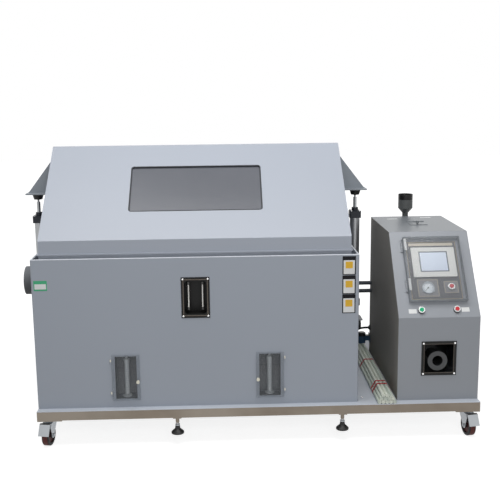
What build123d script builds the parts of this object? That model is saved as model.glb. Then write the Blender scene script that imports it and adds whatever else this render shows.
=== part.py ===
from build123d import *
from math import atan2, cos, hypot, pi, radians, sin, tan
import os

os.makedirs("parts", exist_ok=True)

# Salt-spray test chamber. X runs right, Y runs back, Z runs up from the floor.
# The origin is on the floor, under the middle of the whole machine.

# Tank
tank_width = 1360
tank_depth = 960
tank_height = 645
tank_wall = 8
seal_width = 67
seal_depth = 45
inner_wall = 5
inner_rim_drop = 10
inner_floor_height = 110
wall_edge_radius = 2.5
tank_corner_radius = 6

# Lid
lid_inset = 30
lid_wall = 6
lid_dip = 33
lid_skirt_top = 71
lid_lip_height = 10
lid_lip_thickness = 6
lid_lip_reach = 5
lid_rise = 358
ridge_flat = 30
pane_width = 575
pane_height = 272
pane_middle_up_slope = 293
pane_corner_radius = 14
pane_thickness = 5
pane_overlap = 15
pane_seat_gap = 0.3

# Base
frame_tube = 38
frame_tube_wall = 1.5
frame_bays = 4
deck_thickness = 2
deck_overhang = 35
bench_gap = 170

# Console
console_width = 350
console_depth = 700
console_height = 692
console_front_height = 365
console_slope_run = 250
console_setback = 5
sheet = 2

# Casters
caster_height = 122
wheel_radius = 45
wheel_width = 30
wheel_trail = 28
caster_inset_x = 42
caster_inset_y = 65
corner_plate = 4
top_plate = 3
fork_sheet = 3
fork_gap = 36
axle_radius = 4
king_pin_radius = 5
front_caster_turn = 10
rear_caster_turn = 25

# Levelling feet
foot_spread = 704
foot_clearance = 48
foot_pad_radius = 27
foot_bell_height = 35
foot_stem_radius = 6
foot_boss_radius = 8
foot_boss_length = 22
foot_up_travel = 6

# Fits
running_fit = 0.05
part_gap = 0.4
hole_clearance = 0.3

# Lid cylinders
wing_reach = 132
wing_depth = 80
wing_sheet = 6
wing_height = 164
wing_underside = 858
cylinder_offset = 53
cylinder_pivot_height = 265
cylinder_bore = 20
cylinder_tube_radius = 22.5
cylinder_cap = 52
cap_length = 32
rod_radius = 8
gland_radius = 15
gland_length = 16
gland_top_height = 774
tube_length = 388
ball_radius = 7
ball_height = 836
cup_height = 24
cup_top_radius = 26.5
cup_mouth_radius = 19
tang_width = 16
bracket_sheet = 6
pivot_pin_radius = 6

# Lid hinges
hinge_back = 25
hinge_height = 690
hinge_pin_radius = 5
hinge_lug_width = 20
hinge_ear = 6
hinge_inset = 250

# Niches with the measuring cylinders
niche_width = 90
niche_height = 186
niche_depth = 60
niche_floor = 38
niche_wall = 3
niche_spread = 608
door_sheet = 4
door_margin_hinge = 14
door_margin_free = 14
door_margin_height = 6
knob_radius = 7

# Level window
level_x = 676
level_z = 473
level_plate_width = 119
level_plate_height = 174
level_opening_width = 92
level_opening_height = 140
level_recess = 50
level_tube_spread = 60
level_tube_radius = 5

# Ports and pipes
port_radius = 60
port_bore = 55
port_reach = 48
port_back = 140
port_margin = 28
port_height = tank_height - lid_dip - port_bore - port_margin
pipe_radius = 9.5
pipe_back = 670
pipe_heights = (365, 325)
hose_radius = 5
hose_back = 680

# Control panel, measured along the slope from the bend
cover_width = 250
cover_height = 302
cover_depth = 25
cover_wall = 3
cover_left = 52
cover_bottom = 71
touch_width = 190
touch_height = 142
touch_middle = (181, 258)
screen_width = 126
screen_height = 98
gauge_middle = (142, 136)
gauge_radius = 27
power_middle = (242, 139)
start_middle = (100, 33)
stop_middle = (252, 34)
button_radius = 9.5
bezel_radius = 15
bezel_height = 11
button_travel = 3

# Places worked out from the driving sizes
frame_length = tank_width + bench_gap + console_width
wing_out = wing_reach - lid_inset
machine_width = wing_out + frame_length
pedal_reach = 60
hinge_barrel = hinge_pin_radius + 7
front_reach = deck_overhang + wheel_trail + pedal_reach - caster_inset_y
back_reach = tank_depth + hinge_back + hinge_barrel
tank_left = wing_out - machine_width / 2
tank_right = tank_left + tank_width
tank_front = (front_reach - back_reach) / 2
tank_back = tank_front + tank_depth
deck_top = caster_height + frame_tube + deck_thickness
rim_top = deck_top + tank_height
frame_front = tank_front - deck_overhang
frame_back = tank_back
frame_right = tank_left + frame_length
frame_depth = frame_back - frame_front
frame_middle_y = (frame_front + frame_back) / 2
console_left = tank_right + bench_gap
console_front = tank_front + console_setback
console_back = console_front + console_depth
tank_middle_x = tank_left + tank_width / 2
tank_middle_y = tank_front + tank_depth / 2


def block(x, y, z, mode=Mode.ADD):
    """A box that fills three spans, each given as (low, high)."""
    middle = ((x[0] + x[1]) / 2, (y[0] + y[1]) / 2, (z[0] + z[1]) / 2)
    with Locations(middle):
        Box(x[1] - x[0], y[1] - y[0], z[1] - z[0], mode=mode)


def rod_along(axis, middle, radius, length, mode=Mode.ADD):
    """A cylinder with its middle at a point and its length along X, Y or Z."""
    turns = {"X": (0, 90, 0), "Y": (90, 0, 0), "Z": (0, 0, 0)}
    with Locations(Location(middle, turns[axis])):
        Cylinder(radius, length, mode=mode)


def centred(middle, width):
    """The span of a width about its middle."""
    return (middle - width / 2, middle + width / 2)


def cut_apart(solids, planes):
    """The solids parted at each plane, into sheets that lie edge to edge."""
    pieces = list(solids)
    for plane in planes:
        halves = [split(piece, plane, keep) for piece in pieces for keep in (Keep.TOP, Keep.BOTTOM)]
        pieces = [solid for half in halves for solid in half.solids()]
    return pieces


# Base frame: two long tubes, cross tubes, end caps, corner plates and foot bosses
frame_low = caster_height
frame_high = caster_height + frame_tube
cross_depth = frame_depth - 2 * frame_tube
foot_places = [
    (tank_left + frame_length / 2 + side * foot_spread / 2, y)
    for y in (frame_front + frame_tube / 2, frame_back - frame_tube / 2)
    for side in (-1, 1)
]
foot_stem_top = frame_high - frame_tube_wall - foot_up_travel - 0.5
tube_inside = frame_tube - 2 * frame_tube_wall
cap_sheet = 1.5
foot_plate = 4

with BuildPart() as base_frame:
    for y in (frame_front + frame_tube / 2, frame_back - frame_tube / 2):
        with BuildSketch(Plane.YZ.offset(tank_left + cap_sheet)):
            with Locations((y, frame_low + frame_tube / 2)):
                Rectangle(frame_tube, frame_tube)
                Rectangle(tube_inside, tube_inside, mode=Mode.SUBTRACT)
        extrude(amount=frame_length - 2 * cap_sheet)
    for place in foot_places:
        rod_along(
            "Z",
            (*place, frame_low),
            foot_stem_radius + hole_clearance,
            2 * frame_tube_wall + 1,
            Mode.SUBTRACT,
        )
long_tubes = list(base_frame.part.solids())

frame_pieces = []
with BuildPart() as cross_tube:
    with BuildSketch(Plane.XZ.offset(-frame_front - frame_tube)):
        Rectangle(frame_tube, frame_tube)
        Rectangle(tube_inside, tube_inside, mode=Mode.SUBTRACT)
    extrude(amount=-cross_depth)
cross_pitch = (frame_length - frame_tube) / frame_bays
for bay in range(frame_bays + 1):
    tube_x = tank_left + frame_tube / 2 + bay * cross_pitch
    frame_pieces.append(Pos(tube_x, 0, frame_low + frame_tube / 2) * cross_tube.part)

with BuildPart() as end_caps:
    for x in (tank_left + cap_sheet / 2, frame_right - cap_sheet / 2):
        for y in (frame_front + frame_tube / 2, frame_back - frame_tube / 2):
            with Locations((x, y, frame_low + frame_tube / 2)):
                Box(cap_sheet, frame_tube, frame_tube)

corner_width = 2 * caster_inset_x + 20
corner_depth = 2 * caster_inset_y
with BuildPart() as corner_plates:
    for x in (tank_left + corner_width / 2, frame_right - corner_width / 2):
        for y in (frame_front + corner_depth / 2, frame_back - corner_depth / 2):
            with Locations((x, y, frame_low - corner_plate / 2)):
                Box(corner_width, corner_depth, corner_plate)

with BuildPart() as foot_bosses:
    for place in foot_places:
        with Locations((*place, frame_low - foot_plate / 2)):
            Box(frame_tube - 2, frame_tube - 2, foot_plate)
        boss_middle = frame_low - foot_plate - foot_boss_length / 2
        rod_along("Z", (*place, boss_middle), foot_boss_radius, foot_boss_length)
        rod_along("Z", (*place, frame_low), foot_stem_radius + running_fit, 60, Mode.SUBTRACT)

for piece in (end_caps, corner_plates, foot_bosses):
    frame_pieces.extend(piece.part.solids())
base_frame.part = Compound(children=[*long_tubes, *frame_pieces])
base_frame.part.label = "base_frame"
export_step(base_frame.part, "parts/base_frame.step")

# Deck plate on the frame
with BuildPart() as deck_plate:
    block((tank_left, frame_right), (frame_front, frame_back), (frame_high, deck_top))
    fillet(deck_plate.edges().group_by(Axis.Z)[-1].group_by(Axis.Y)[0], deck_thickness * 0.6)
deck_plate.part.label = "deck_plate"
export_step(deck_plate.part, "parts/deck_plate.step")

# Tank shell: four walls on the deck, with the openings for what passes through them
niche_xs = [tank_middle_x + side * niche_spread / 2 for side in (-1, 1)]
niche_low = deck_top + niche_floor
niche_high = niche_low + niche_height
level_middle = (tank_left + level_x, deck_top + level_z)
port_middle = (tank_front + port_back, deck_top + port_height)
drain_height = 60
drain_radius = 16
drain_wall = 3
drain_inset = 180
drain_x = tank_middle_x + 90
union_back = 600
union_height = 175
union_radius = 22
spigot_radius = 14
hose_tank_height = 88
grommet_radius = 9

with BuildPart() as tank_shell:
    block((tank_left, tank_right), (tank_front, tank_back), (deck_top, rim_top))
    fillet(tank_shell.edges().filter_by(Axis.Z), tank_corner_radius)
    block(
        (tank_left + tank_wall, tank_right - tank_wall),
        (tank_front + tank_wall, tank_back - tank_wall),
        (deck_top, rim_top),
        Mode.SUBTRACT,
    )
    fillet(tank_shell.edges().group_by(Axis.Z)[-1], wall_edge_radius)
    for x in niche_xs:
        block(
            centred(x, niche_width + 2 * niche_wall),
            (tank_front - 1, tank_front + tank_wall + 1),
            (niche_low - niche_wall, niche_high + niche_wall),
            Mode.SUBTRACT,
        )
    block(
        centred(level_middle[0], level_opening_width + 2 * sheet + 2 * hole_clearance),
        (tank_front - 1, tank_front + tank_wall + 1),
        centred(level_middle[1], level_opening_height + 2 * sheet + 2 * hole_clearance),
        Mode.SUBTRACT,
    )
    cut = 4 * tank_wall
    rod_along("X", (tank_left, *port_middle), port_bore + hole_clearance, cut, Mode.SUBTRACT)
    for height in pipe_heights:
        pipe_place = (tank_right, tank_front + pipe_back, deck_top + height)
        rod_along("X", pipe_place, pipe_radius + hole_clearance, cut, Mode.SUBTRACT)
    hose_place = (tank_right, tank_front + hose_back, deck_top + hose_tank_height)
    rod_along("X", hose_place, grommet_radius + hole_clearance, cut, Mode.SUBTRACT)
    drain_place = (drain_x, tank_back, deck_top + drain_height)
    rod_along("Y", drain_place, drain_radius + hole_clearance, cut, Mode.SUBTRACT)
    union_place = (tank_right, tank_front + union_back, deck_top + union_height)
    rod_along("X", union_place, spigot_radius + hole_clearance, cut, Mode.SUBTRACT)
wall_seams = [Plane.YZ.offset(tank_left + tank_wall), Plane.YZ.offset(tank_right - tank_wall)]
tank_walls = Compound(children=cut_apart(tank_shell.part.solids(), wall_seams))
tank_walls.label = "tank_shell"
export_step(tank_walls, "parts/tank_shell.step")

# Inner tank, with the floor of the water-seal groove round its rim
inner_x = (tank_left + tank_wall + seal_width, tank_right - tank_wall - seal_width)
inner_y = (tank_front + tank_wall + seal_width, tank_back - tank_wall - seal_width)
inner_top = rim_top - inner_rim_drop
inner_floor = deck_top + inner_floor_height
seal_floor = rim_top - seal_depth
cavity_x = (inner_x[0] + inner_wall, inner_x[1] - inner_wall)
cavity_y = (inner_y[0] + inner_wall, inner_y[1] - inner_wall)
drip_radius = 5
drip_front = 36
drip_height = niche_high + niche_wall + 23
leg_size = 40

with BuildPart() as inner_tank:
    block(inner_x, inner_y, (inner_floor - inner_wall, inner_top))
    block(
        (tank_left + tank_wall, tank_right - tank_wall),
        (tank_front + tank_wall, tank_back - tank_wall),
        (seal_floor - inner_wall, seal_floor),
    )
    block(cavity_x, cavity_y, (inner_floor, inner_top), Mode.SUBTRACT)
    for x in (inner_x[0] + leg_size, tank_middle_x, inner_x[1] - leg_size):
        for y in (inner_y[0] + leg_size, inner_y[1] - leg_size):
            block(centred(x, leg_size), centred(y, leg_size), (deck_top, inner_floor - inner_wall))
    rod_along("X", (inner_x[0], *port_middle), port_bore + hole_clearance, cut, Mode.SUBTRACT)
    for x in niche_xs:
        drip_place = (x, inner_y[0], drip_height)
        rod_along("Y", drip_place, drip_radius + hole_clearance, cut, Mode.SUBTRACT)
    for height in pipe_heights:
        pipe_place = (inner_x[1], tank_front + pipe_back, deck_top + height)
        rod_along("X", pipe_place, pipe_radius + hole_clearance, cut, Mode.SUBTRACT)
    union_place = (inner_x[1], tank_front + union_back, deck_top + union_height)
    rod_along("X", union_place, spigot_radius + hole_clearance, cut, Mode.SUBTRACT)
    floor_place = (drain_x, tank_back - drain_inset, inner_floor)
    rod_along("Z", floor_place, drain_radius - drain_wall, cut, Mode.SUBTRACT)
tub_planes = [Plane.YZ.offset(x) for x in inner_x]
tub_planes += [Plane.XZ.offset(-y) for y in inner_y]
tub_planes.append(Plane.XY.offset(inner_floor - inner_wall))
tub, *flange_and_legs = sorted(cut_apart(inner_tank.part.solids(), tub_planes), key=lambda s: -s.volume)
tub_seams = [Plane.YZ.offset(x) for x in cavity_x]
tub_seams.append(Plane.XY.offset(inner_floor))
inner_sheets = Compound(children=[*cut_apart([tub], tub_seams), *flange_and_legs])
inner_sheets.label = "inner_tank"
export_step(inner_sheets, "parts/inner_tank.step")

# Heater tubes: U-shaped rods on the deck under the inner tank
heater_radius = 6
heater_height = 30
heater_length = 380
heater_reach = 90
with BuildPart() as heater_tubes:
    for side in (-1, 1):
        middle_x = tank_middle_x + side * tank_width / 4
        with BuildLine() as heater_path:
            FilletPolyline(
                (middle_x - heater_length / 2, tank_middle_y - heater_reach, deck_top + heater_height),
                (middle_x + heater_length / 2, tank_middle_y - heater_reach, deck_top + heater_height),
                (middle_x + heater_length / 2, tank_middle_y + heater_reach, deck_top + heater_height),
                (middle_x - heater_length / 2, tank_middle_y + heater_reach, deck_top + heater_height),
                radius=heater_reach * 0.6,
            )
        with BuildSketch(heater_path.line ^ 0):
            Circle(heater_radius)
        sweep(path=heater_path.line)
        for y in (tank_middle_y - heater_reach, tank_middle_y + heater_reach):
            block(
                centred(middle_x - heater_length / 4, 20),
                centred(y, 24),
                (deck_top, deck_top + heater_height),
            )
heater_tubes.part.label = "heater_tubes"
export_step(heater_tubes.part, "parts/heater_tubes.step")

# Spray tower: clear tube on a flange, a nozzle inside it and a cone over its top
tower_radius = 45
tower_wall = 4
tower_height = 400
tower_flange = 70
cone_radius = 75
cone_rise = 60
cone_gap = 35
nozzle_height = 90
tower_top = inner_floor + tower_height

with BuildPart() as tower_tube:
    rod_along("Z", (tank_middle_x, tank_middle_y, inner_floor + 4), tower_flange, 8)
    rod_along(
        "Z",
        (tank_middle_x, tank_middle_y, inner_floor + tower_height / 2),
        tower_radius,
        tower_height,
    )
    rod_along(
        "Z",
        (tank_middle_x, tank_middle_y, inner_floor + tower_height / 2),
        tower_radius - tower_wall,
        tower_height + 1,
        Mode.SUBTRACT,
    )
    feed_place = (tank_middle_x + tower_radius, tank_middle_y, inner_floor + nozzle_height)
    rod_along("X", feed_place, pipe_radius + hole_clearance, 6 * tower_wall, Mode.SUBTRACT)

with BuildPart() as tower_cone:
    with BuildSketch(Plane.XZ.offset(-tank_middle_y)) as cone_profile:
        with BuildLine():
            Polyline(
                (tank_middle_x, tower_top + cone_gap + cone_rise),
                (tank_middle_x + cone_radius, tower_top + cone_gap),
                (tank_middle_x + cone_radius, tower_top + cone_gap - tower_wall),
                (tank_middle_x, tower_top + cone_gap + cone_rise - tower_wall),
                close=True,
            )
        make_face()
    revolve(axis=Axis((tank_middle_x, tank_middle_y, 0), (0, 0, 1)))
    for turn in range(3):
        angle = radians(120 * turn + 30)
        leg_x = tank_middle_x + (tower_radius - tower_wall / 2) * cos(angle)
        leg_y = tank_middle_y + (tower_radius - tower_wall / 2) * sin(angle)
        leg_top = tower_top + cone_gap + cone_rise * (1 - tower_radius / cone_radius) - 1
        with Locations((leg_x, leg_y, (tower_top + leg_top) / 2)):
            Cylinder(tower_wall / 2, leg_top - tower_top)

with BuildPart() as nozzle:
    rod_along("Z", (tank_middle_x, tank_middle_y, inner_floor + nozzle_height / 2), 6, nozzle_height)
    rod_along("Z", (tank_middle_x, tank_middle_y, inner_floor + nozzle_height), 12, 18)
    rod_along("Z", (tank_middle_x, tank_middle_y, inner_floor + nozzle_height + 9), 2, 20, Mode.SUBTRACT)
    rod_along("X", (tank_middle_x, tank_middle_y, inner_floor + nozzle_height), 4, 44)

spray_tower = Compound(children=[tower_tube.part, tower_cone.part, nozzle.part])
spray_tower.label = "spray_tower"
export_step(spray_tower, "parts/spray_tower.step")

# Rack rails with V notches, along the front and back walls of the inner tank
rail_height = 480
rail_depth = 20
rail_tall = 25
notch_pitch = 50
notch_size = 14
rail_low = deck_top + rail_height
with BuildPart() as rack_rails:
    for y in (
        (cavity_y[0], cavity_y[0] + rail_depth),
        (cavity_y[1] - rail_depth, cavity_y[1]),
    ):
        block(cavity_x, y, (rail_low, rail_low + rail_tall))
        count = int((cavity_x[1] - cavity_x[0]) / notch_pitch) - 1
        for number in range(count):
            notch_x = tank_middle_x + (number - (count - 1) / 2) * notch_pitch
            with Locations(
                Location((notch_x, sum(y) / 2, rail_low + rail_tall), (0, 45, 0))
            ):
                Box(notch_size, rail_depth + 1, notch_size, mode=Mode.SUBTRACT)
rack_rails.part.label = "rack_rails"
export_step(rack_rails.part, "parts/rack_rails.step")

# Fog collection: a funnel inside the tank, and its drip tube through to each niche
funnel_back = 180
funnel_mouth = 50
funnel_rise = 60
funnel_wall = 2
drip_bore = 3
drip_end = niche_high - 16
funnel_base = drip_height + 34
with BuildPart() as collection_funnels:
    for x in niche_xs:
        with BuildLine() as drip_path:
            FilletPolyline(
                (x, tank_front + funnel_back, funnel_base),
                (x, tank_front + funnel_back, drip_height),
                (x, tank_front + drip_front, drip_height),
                (x, tank_front + drip_front, drip_end),
                radius=16,
            )
        with BuildSketch(drip_path.line ^ 0):
            Circle(drip_radius)
            Circle(drip_bore, mode=Mode.SUBTRACT)
        sweep(path=drip_path.line)
        with BuildSketch(Plane.XZ.offset(-tank_front - funnel_back)):
            with BuildLine():
                Polyline(
                    (x + drip_bore, funnel_base),
                    (x + drip_radius, funnel_base),
                    (x + funnel_mouth, funnel_base + funnel_rise),
                    (x + funnel_mouth, funnel_base + funnel_rise + 8),
                    (x + funnel_mouth - funnel_wall, funnel_base + funnel_rise + 8),
                    (x + funnel_mouth - funnel_wall, funnel_base + funnel_rise + 1),
                    close=True,
                )
            make_face()
        revolve(axis=Axis((x, tank_front + funnel_back, 0), (0, 0, 1)))
collection_funnels.part.label = "collection_funnels"
export_step(collection_funnels.part, "parts/collection_funnels.step")

# Niche pockets in the front wall, each with two hinge knuckles and pins for its door
door_gap = 1.5
flange_sheet = 1.1
flange_reach = 8
door_outer = niche_width / 2 + door_margin_hinge
door_back = tank_front - door_gap
door_low = niche_low - door_margin_height
door_high = niche_high + door_margin_height
hinge_pin = 1.5
knuckle_radius = 3.5
knuckle_length = 22
door_pin_y = door_back - door_sheet / 2
door_hinge_xs = [
    niche_xs[0] - door_outer - knuckle_radius - part_gap,
    niche_xs[1] + door_outer + knuckle_radius + part_gap,
]
door_hinge_zs = [door_low + 28, door_high - 28]
niche_inner_back = tank_front + niche_depth
with BuildPart() as niche_pockets:
    for x, pin_x, side in zip(niche_xs, door_hinge_xs, (-1, 1)):
        block(
            centred(x, niche_width + 2 * niche_wall),
            (tank_front, niche_inner_back + niche_wall),
            (niche_low - niche_wall, niche_high + niche_wall),
        )
        block(
            centred(x, niche_width + 2 * niche_wall + 2 * flange_reach),
            (tank_front - flange_sheet, tank_front),
            (niche_low - niche_wall - flange_reach, niche_high + niche_wall + flange_reach),
        )
        block(
            centred(x, niche_width),
            (tank_front - 2 * flange_sheet, niche_inner_back),
            (niche_low, niche_high),
            Mode.SUBTRACT,
        )
        rod_along(
            "Z",
            (x, tank_front + drip_front, niche_high + niche_wall / 2),
            drip_radius + hole_clearance,
            3 * niche_wall,
            Mode.SUBTRACT,
        )
        for hinge_z in door_hinge_zs:
            lower = hinge_z - knuckle_length / 4 - part_gap / 2
            rod_along("Z", (pin_x, door_pin_y, lower), knuckle_radius, knuckle_length / 2 - part_gap)
            rod_along("Z", (pin_x, door_pin_y, hinge_z), hinge_pin, knuckle_length)
            block(
                sorted((pin_x, x + side * (niche_width / 2 + niche_wall))),
                (tank_front - flange_sheet, tank_front),
                centred(lower, knuckle_length / 2 - part_gap),
            )
niche_pockets.part.label = "niche_pockets"
export_step(niche_pockets.part, "parts/niche_pockets.step")

# Measuring cylinders standing in the niches
jar_foot = 20
jar_radius = 11
jar_wall = 1.5
jar_height = 165
jar_mouth = 13
with BuildPart() as measuring_cylinders:
    for x in niche_xs:
        jar_y = tank_front + drip_front
        with BuildSketch(Plane.XZ.offset(-jar_y)):
            with BuildLine():
                Polyline(
                    (x, niche_low),
                    (x + jar_foot, niche_low),
                    (x + jar_foot, niche_low + 5),
                    (x + jar_radius, niche_low + 11),
                    (x + jar_radius, niche_low + jar_height - 22),
                    (x + jar_mouth, niche_low + jar_height),
                    (x + jar_mouth - jar_wall, niche_low + jar_height),
                    (x + jar_radius - jar_wall, niche_low + jar_height - 22),
                    (x + jar_radius - jar_wall, niche_low + 12),
                    (x, niche_low + 12),
                    close=True,
                )
            make_face()
        revolve(axis=Axis((x, jar_y, 0), (0, 0, 1)))
measuring_cylinders.part.label = "measuring_cylinders"
export_step(measuring_cylinders.part, "parts/measuring_cylinders.step")

# Niche doors, hinged at their outer edges, each with a knob
knob_inset = 8
knob_drop = 15
knob_length = 16
for name, x, pin_x, side in zip(
    ("niche_door_left", "niche_door_right"), niche_xs, door_hinge_xs, (-1, 1)
):
    with BuildPart() as niche_door:
        block(centred(x, 2 * door_outer), (door_back - door_sheet, door_back), (door_low, door_high))
        for hinge_z in door_hinge_zs:
            upper = hinge_z + knuckle_length / 4 + part_gap / 2
            half = knuckle_length / 2 - part_gap
            rod_along("Z", (pin_x, door_pin_y, upper), knuckle_radius, half)
            block(
                sorted((pin_x, x + side * (door_outer - 4))),
                (door_back - door_sheet + 0.5, door_back - 0.5),
                centred(upper, half - 1),
            )
            bore = hinge_pin + running_fit
            rod_along("Z", (pin_x, door_pin_y, upper), bore, half + 1, Mode.SUBTRACT)
        knob_x = x - side * (door_outer - knob_inset)
        knob_z = (door_low + door_high) / 2 - knob_drop
        knob_y = door_back - door_sheet - knob_length / 2
        rod_along("Y", (knob_x, knob_y + 2, knob_z), knob_radius * 0.6, knob_length - 4)
        rod_along("Y", (knob_x, knob_y - 4, knob_z), knob_radius, knob_length - 8)
    niche_door.part.label = name
    export_step(niche_door.part, f"parts/{name}.step")

# Level window: a plate round an opening, with a shallow box behind it
level_corner = 12
level_proud = 2
level_span_x = centred(level_middle[0], level_opening_width)
level_span_z = centred(level_middle[1], level_opening_height)
level_back = tank_front + level_recess
with BuildPart() as level_window_frame:
    block(
        centred(level_middle[0], level_plate_width),
        (tank_front - level_proud, tank_front),
        centred(level_middle[1], level_plate_height),
    )
    block(
        centred(level_middle[0], level_opening_width + 2 * sheet),
        (tank_front, level_back + sheet),
        centred(level_middle[1], level_opening_height + 2 * sheet),
    )
    with BuildSketch(Plane.XZ.offset(-tank_front + 2 * level_proud)):
        with Locations(level_middle):
            RectangleRounded(level_opening_width, level_opening_height, level_corner)
    extrude(amount=-level_recess - 2 * level_proud, mode=Mode.SUBTRACT)
level_window_frame.part.label = "level_window_frame"
export_step(level_window_frame.part, "parts/level_window_frame.step")

# Level tubes in the window, each between two end fittings
level_tube_low = level_span_z[0] + 20
level_tube_high = level_span_z[1] - 12
level_tube_y = tank_front + 22
with BuildPart() as level_tubes:
    for x in centred(level_middle[0], level_tube_spread):
        middle_z = (level_tube_low + level_tube_high) / 2
        length = level_tube_high - level_tube_low
        rod_along("Z", (x, level_tube_y, middle_z), level_tube_radius, length)
        for z in (level_tube_low, level_tube_high):
            rod_along("Z", (x, level_tube_y, z), level_tube_radius + 3, 12)
            block(centred(x, 8), (level_tube_y, level_back), centred(z, 8))
level_tubes.part.label = "level_tubes"
export_step(level_tubes.part, "parts/level_tubes.step")

# Exhaust port: a pipe through both walls that opens into a socket outside
port_wall = 3
socket_depth = port_reach - 3
with BuildPart() as exhaust_port:
    inside = inner_x[0] + inner_wall
    rod_along(
        "X",
        ((tank_left + inside) / 2, *port_middle),
        port_bore,
        inside - tank_left,
    )
    rod_along("X", (tank_left - port_reach / 2, *port_middle), port_radius, port_reach)
    rod_along(
        "X",
        (tank_left - port_reach + socket_depth / 2, *port_middle),
        port_bore,
        socket_depth,
        Mode.SUBTRACT,
    )
    rod_along(
        "X",
        (tank_left, *port_middle),
        port_bore - port_wall,
        4 * seal_width,
        Mode.SUBTRACT,
    )
exhaust_port.part.label = "exhaust_port"
export_step(exhaust_port.part, "parts/exhaust_port.step")

# Lid: a gabled shell that stands in the water seal
lid_x = (tank_left + lid_inset, tank_right - lid_inset)
lid_y = (tank_front + lid_inset, tank_back - lid_inset)
lid_bottom = rim_top - lid_dip
skirt_top = rim_top + lid_skirt_top
ridge_top = skirt_top + lid_rise
ridge_y = centred(tank_middle_y, ridge_flat)
lid_angle = atan2(lid_rise, ridge_y[0] - lid_y[0])
lid_slope = Plane(
    origin=(tank_middle_x, lid_y[0], skirt_top),
    x_dir=(1, 0, 0),
    z_dir=(0, -sin(lid_angle), cos(lid_angle)),
)


def lid_profile(wall, bottom):
    """The gable outline on the YZ plane, a wall's thickness inside the outer faces."""
    bend = skirt_top - wall * tan(pi / 4 - lid_angle / 2)
    shift = wall * tan(lid_angle / 2)
    return Polyline(
        (lid_y[0] + wall, bottom),
        (lid_y[1] - wall, bottom),
        (lid_y[1] - wall, bend),
        (ridge_y[1] - shift, ridge_top - wall),
        (ridge_y[0] + shift, ridge_top - wall),
        (lid_y[0] + wall, bend),
        close=True,
    )


with BuildPart() as lid_shell:
    with BuildSketch(Plane.YZ.offset(lid_x[0])):
        with BuildLine():
            lid_profile(0, lid_bottom)
        make_face()
    extrude(amount=lid_x[1] - lid_x[0])
    fillet(lid_shell.edges().filter_by(Axis.X).group_by(Axis.Z)[-1], lid_wall * 0.7)
    lip_low = rim_top + lid_lip_height
    block(
        (lid_x[0] - lid_lip_reach, lid_x[1] + lid_lip_reach),
        (lid_y[0] - lid_lip_reach, lid_y[1] + lid_lip_reach),
        (lip_low, lip_low + lid_lip_thickness),
    )
    with BuildSketch(Plane.YZ.offset(lid_x[0] + lid_wall)):
        with BuildLine():
            lid_profile(lid_wall, lid_bottom - lid_wall)
        make_face()
    extrude(amount=lid_x[1] - lid_x[0] - 2 * lid_wall, mode=Mode.SUBTRACT)
    with BuildSketch(lid_slope.offset(lid_wall)):
        with Locations((0, pane_middle_up_slope)):
            RectangleRounded(pane_width, pane_height, pane_corner_radius)
    extrude(amount=-3 * lid_wall, mode=Mode.SUBTRACT)
lid_shell.part.label = "lid_shell"
export_step(lid_shell.part, "parts/lid_shell.step")

# Lid window pane, against the inside of the slope
with BuildPart() as lid_window:
    with BuildSketch(lid_slope.offset(-lid_wall - pane_seat_gap)):
        with Locations((0, pane_middle_up_slope)):
            RectangleRounded(
                pane_width + 2 * pane_overlap,
                pane_height + 2 * pane_overlap,
                pane_corner_radius + pane_overlap,
            )
    extrude(amount=-pane_thickness)
lid_window.part.label = "lid_window"
export_step(lid_window.part, "parts/lid_window.step")

# Wings on the lid's gables, each with a cup over its cylinder
wing_low = deck_top + wing_underside
wing_high = wing_low + wing_sheet
wing_back_sheet = 3
cylinder_xs = (tank_left - cylinder_offset, tank_right + cylinder_offset)
cup_cavity_mouth = cup_mouth_radius - 1.8
cup_cavity_top = 10
cup_roof = 8
with BuildPart() as lid_wings:
    for side, wall_x, x in zip((-1, 1), lid_x, cylinder_xs):
        tip_x = wall_x + side * wing_reach
        block(
            sorted((wall_x, tip_x)),
            centred(tank_middle_y, wing_depth),
            (wing_low, wing_high),
        )
        block(
            sorted((wall_x, wall_x + side * wing_back_sheet)),
            centred(tank_middle_y, wing_depth),
            (wing_low, wing_high + wing_height),
        )
        with BuildSketch(Plane.XZ.offset(-tank_middle_y)):
            with BuildLine():
                Polyline(
                    (wall_x, wing_high),
                    (tip_x - side * wing_sheet, wing_high),
                    (wall_x, wing_high + wing_height),
                    close=True,
                )
            make_face()
        extrude(amount=wing_sheet / 2, both=True)
        with BuildSketch(Plane.XZ.offset(-tank_middle_y)):
            with BuildLine():
                Polyline(
                    (x, wing_low),
                    (x + cup_top_radius, wing_low),
                    (x + cup_mouth_radius, wing_low - cup_height),
                    (x + cup_cavity_mouth, wing_low - cup_height),
                    (x + cup_cavity_top, wing_low - cup_roof),
                    (x, wing_low - cup_roof),
                    close=True,
                )
            make_face()
        revolve(axis=Axis((x, tank_middle_y, 0), (0, 0, 1)))
lid_wings.part.label = "lid_wings"
export_step(lid_wings.part, "parts/lid_wings.step")

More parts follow.
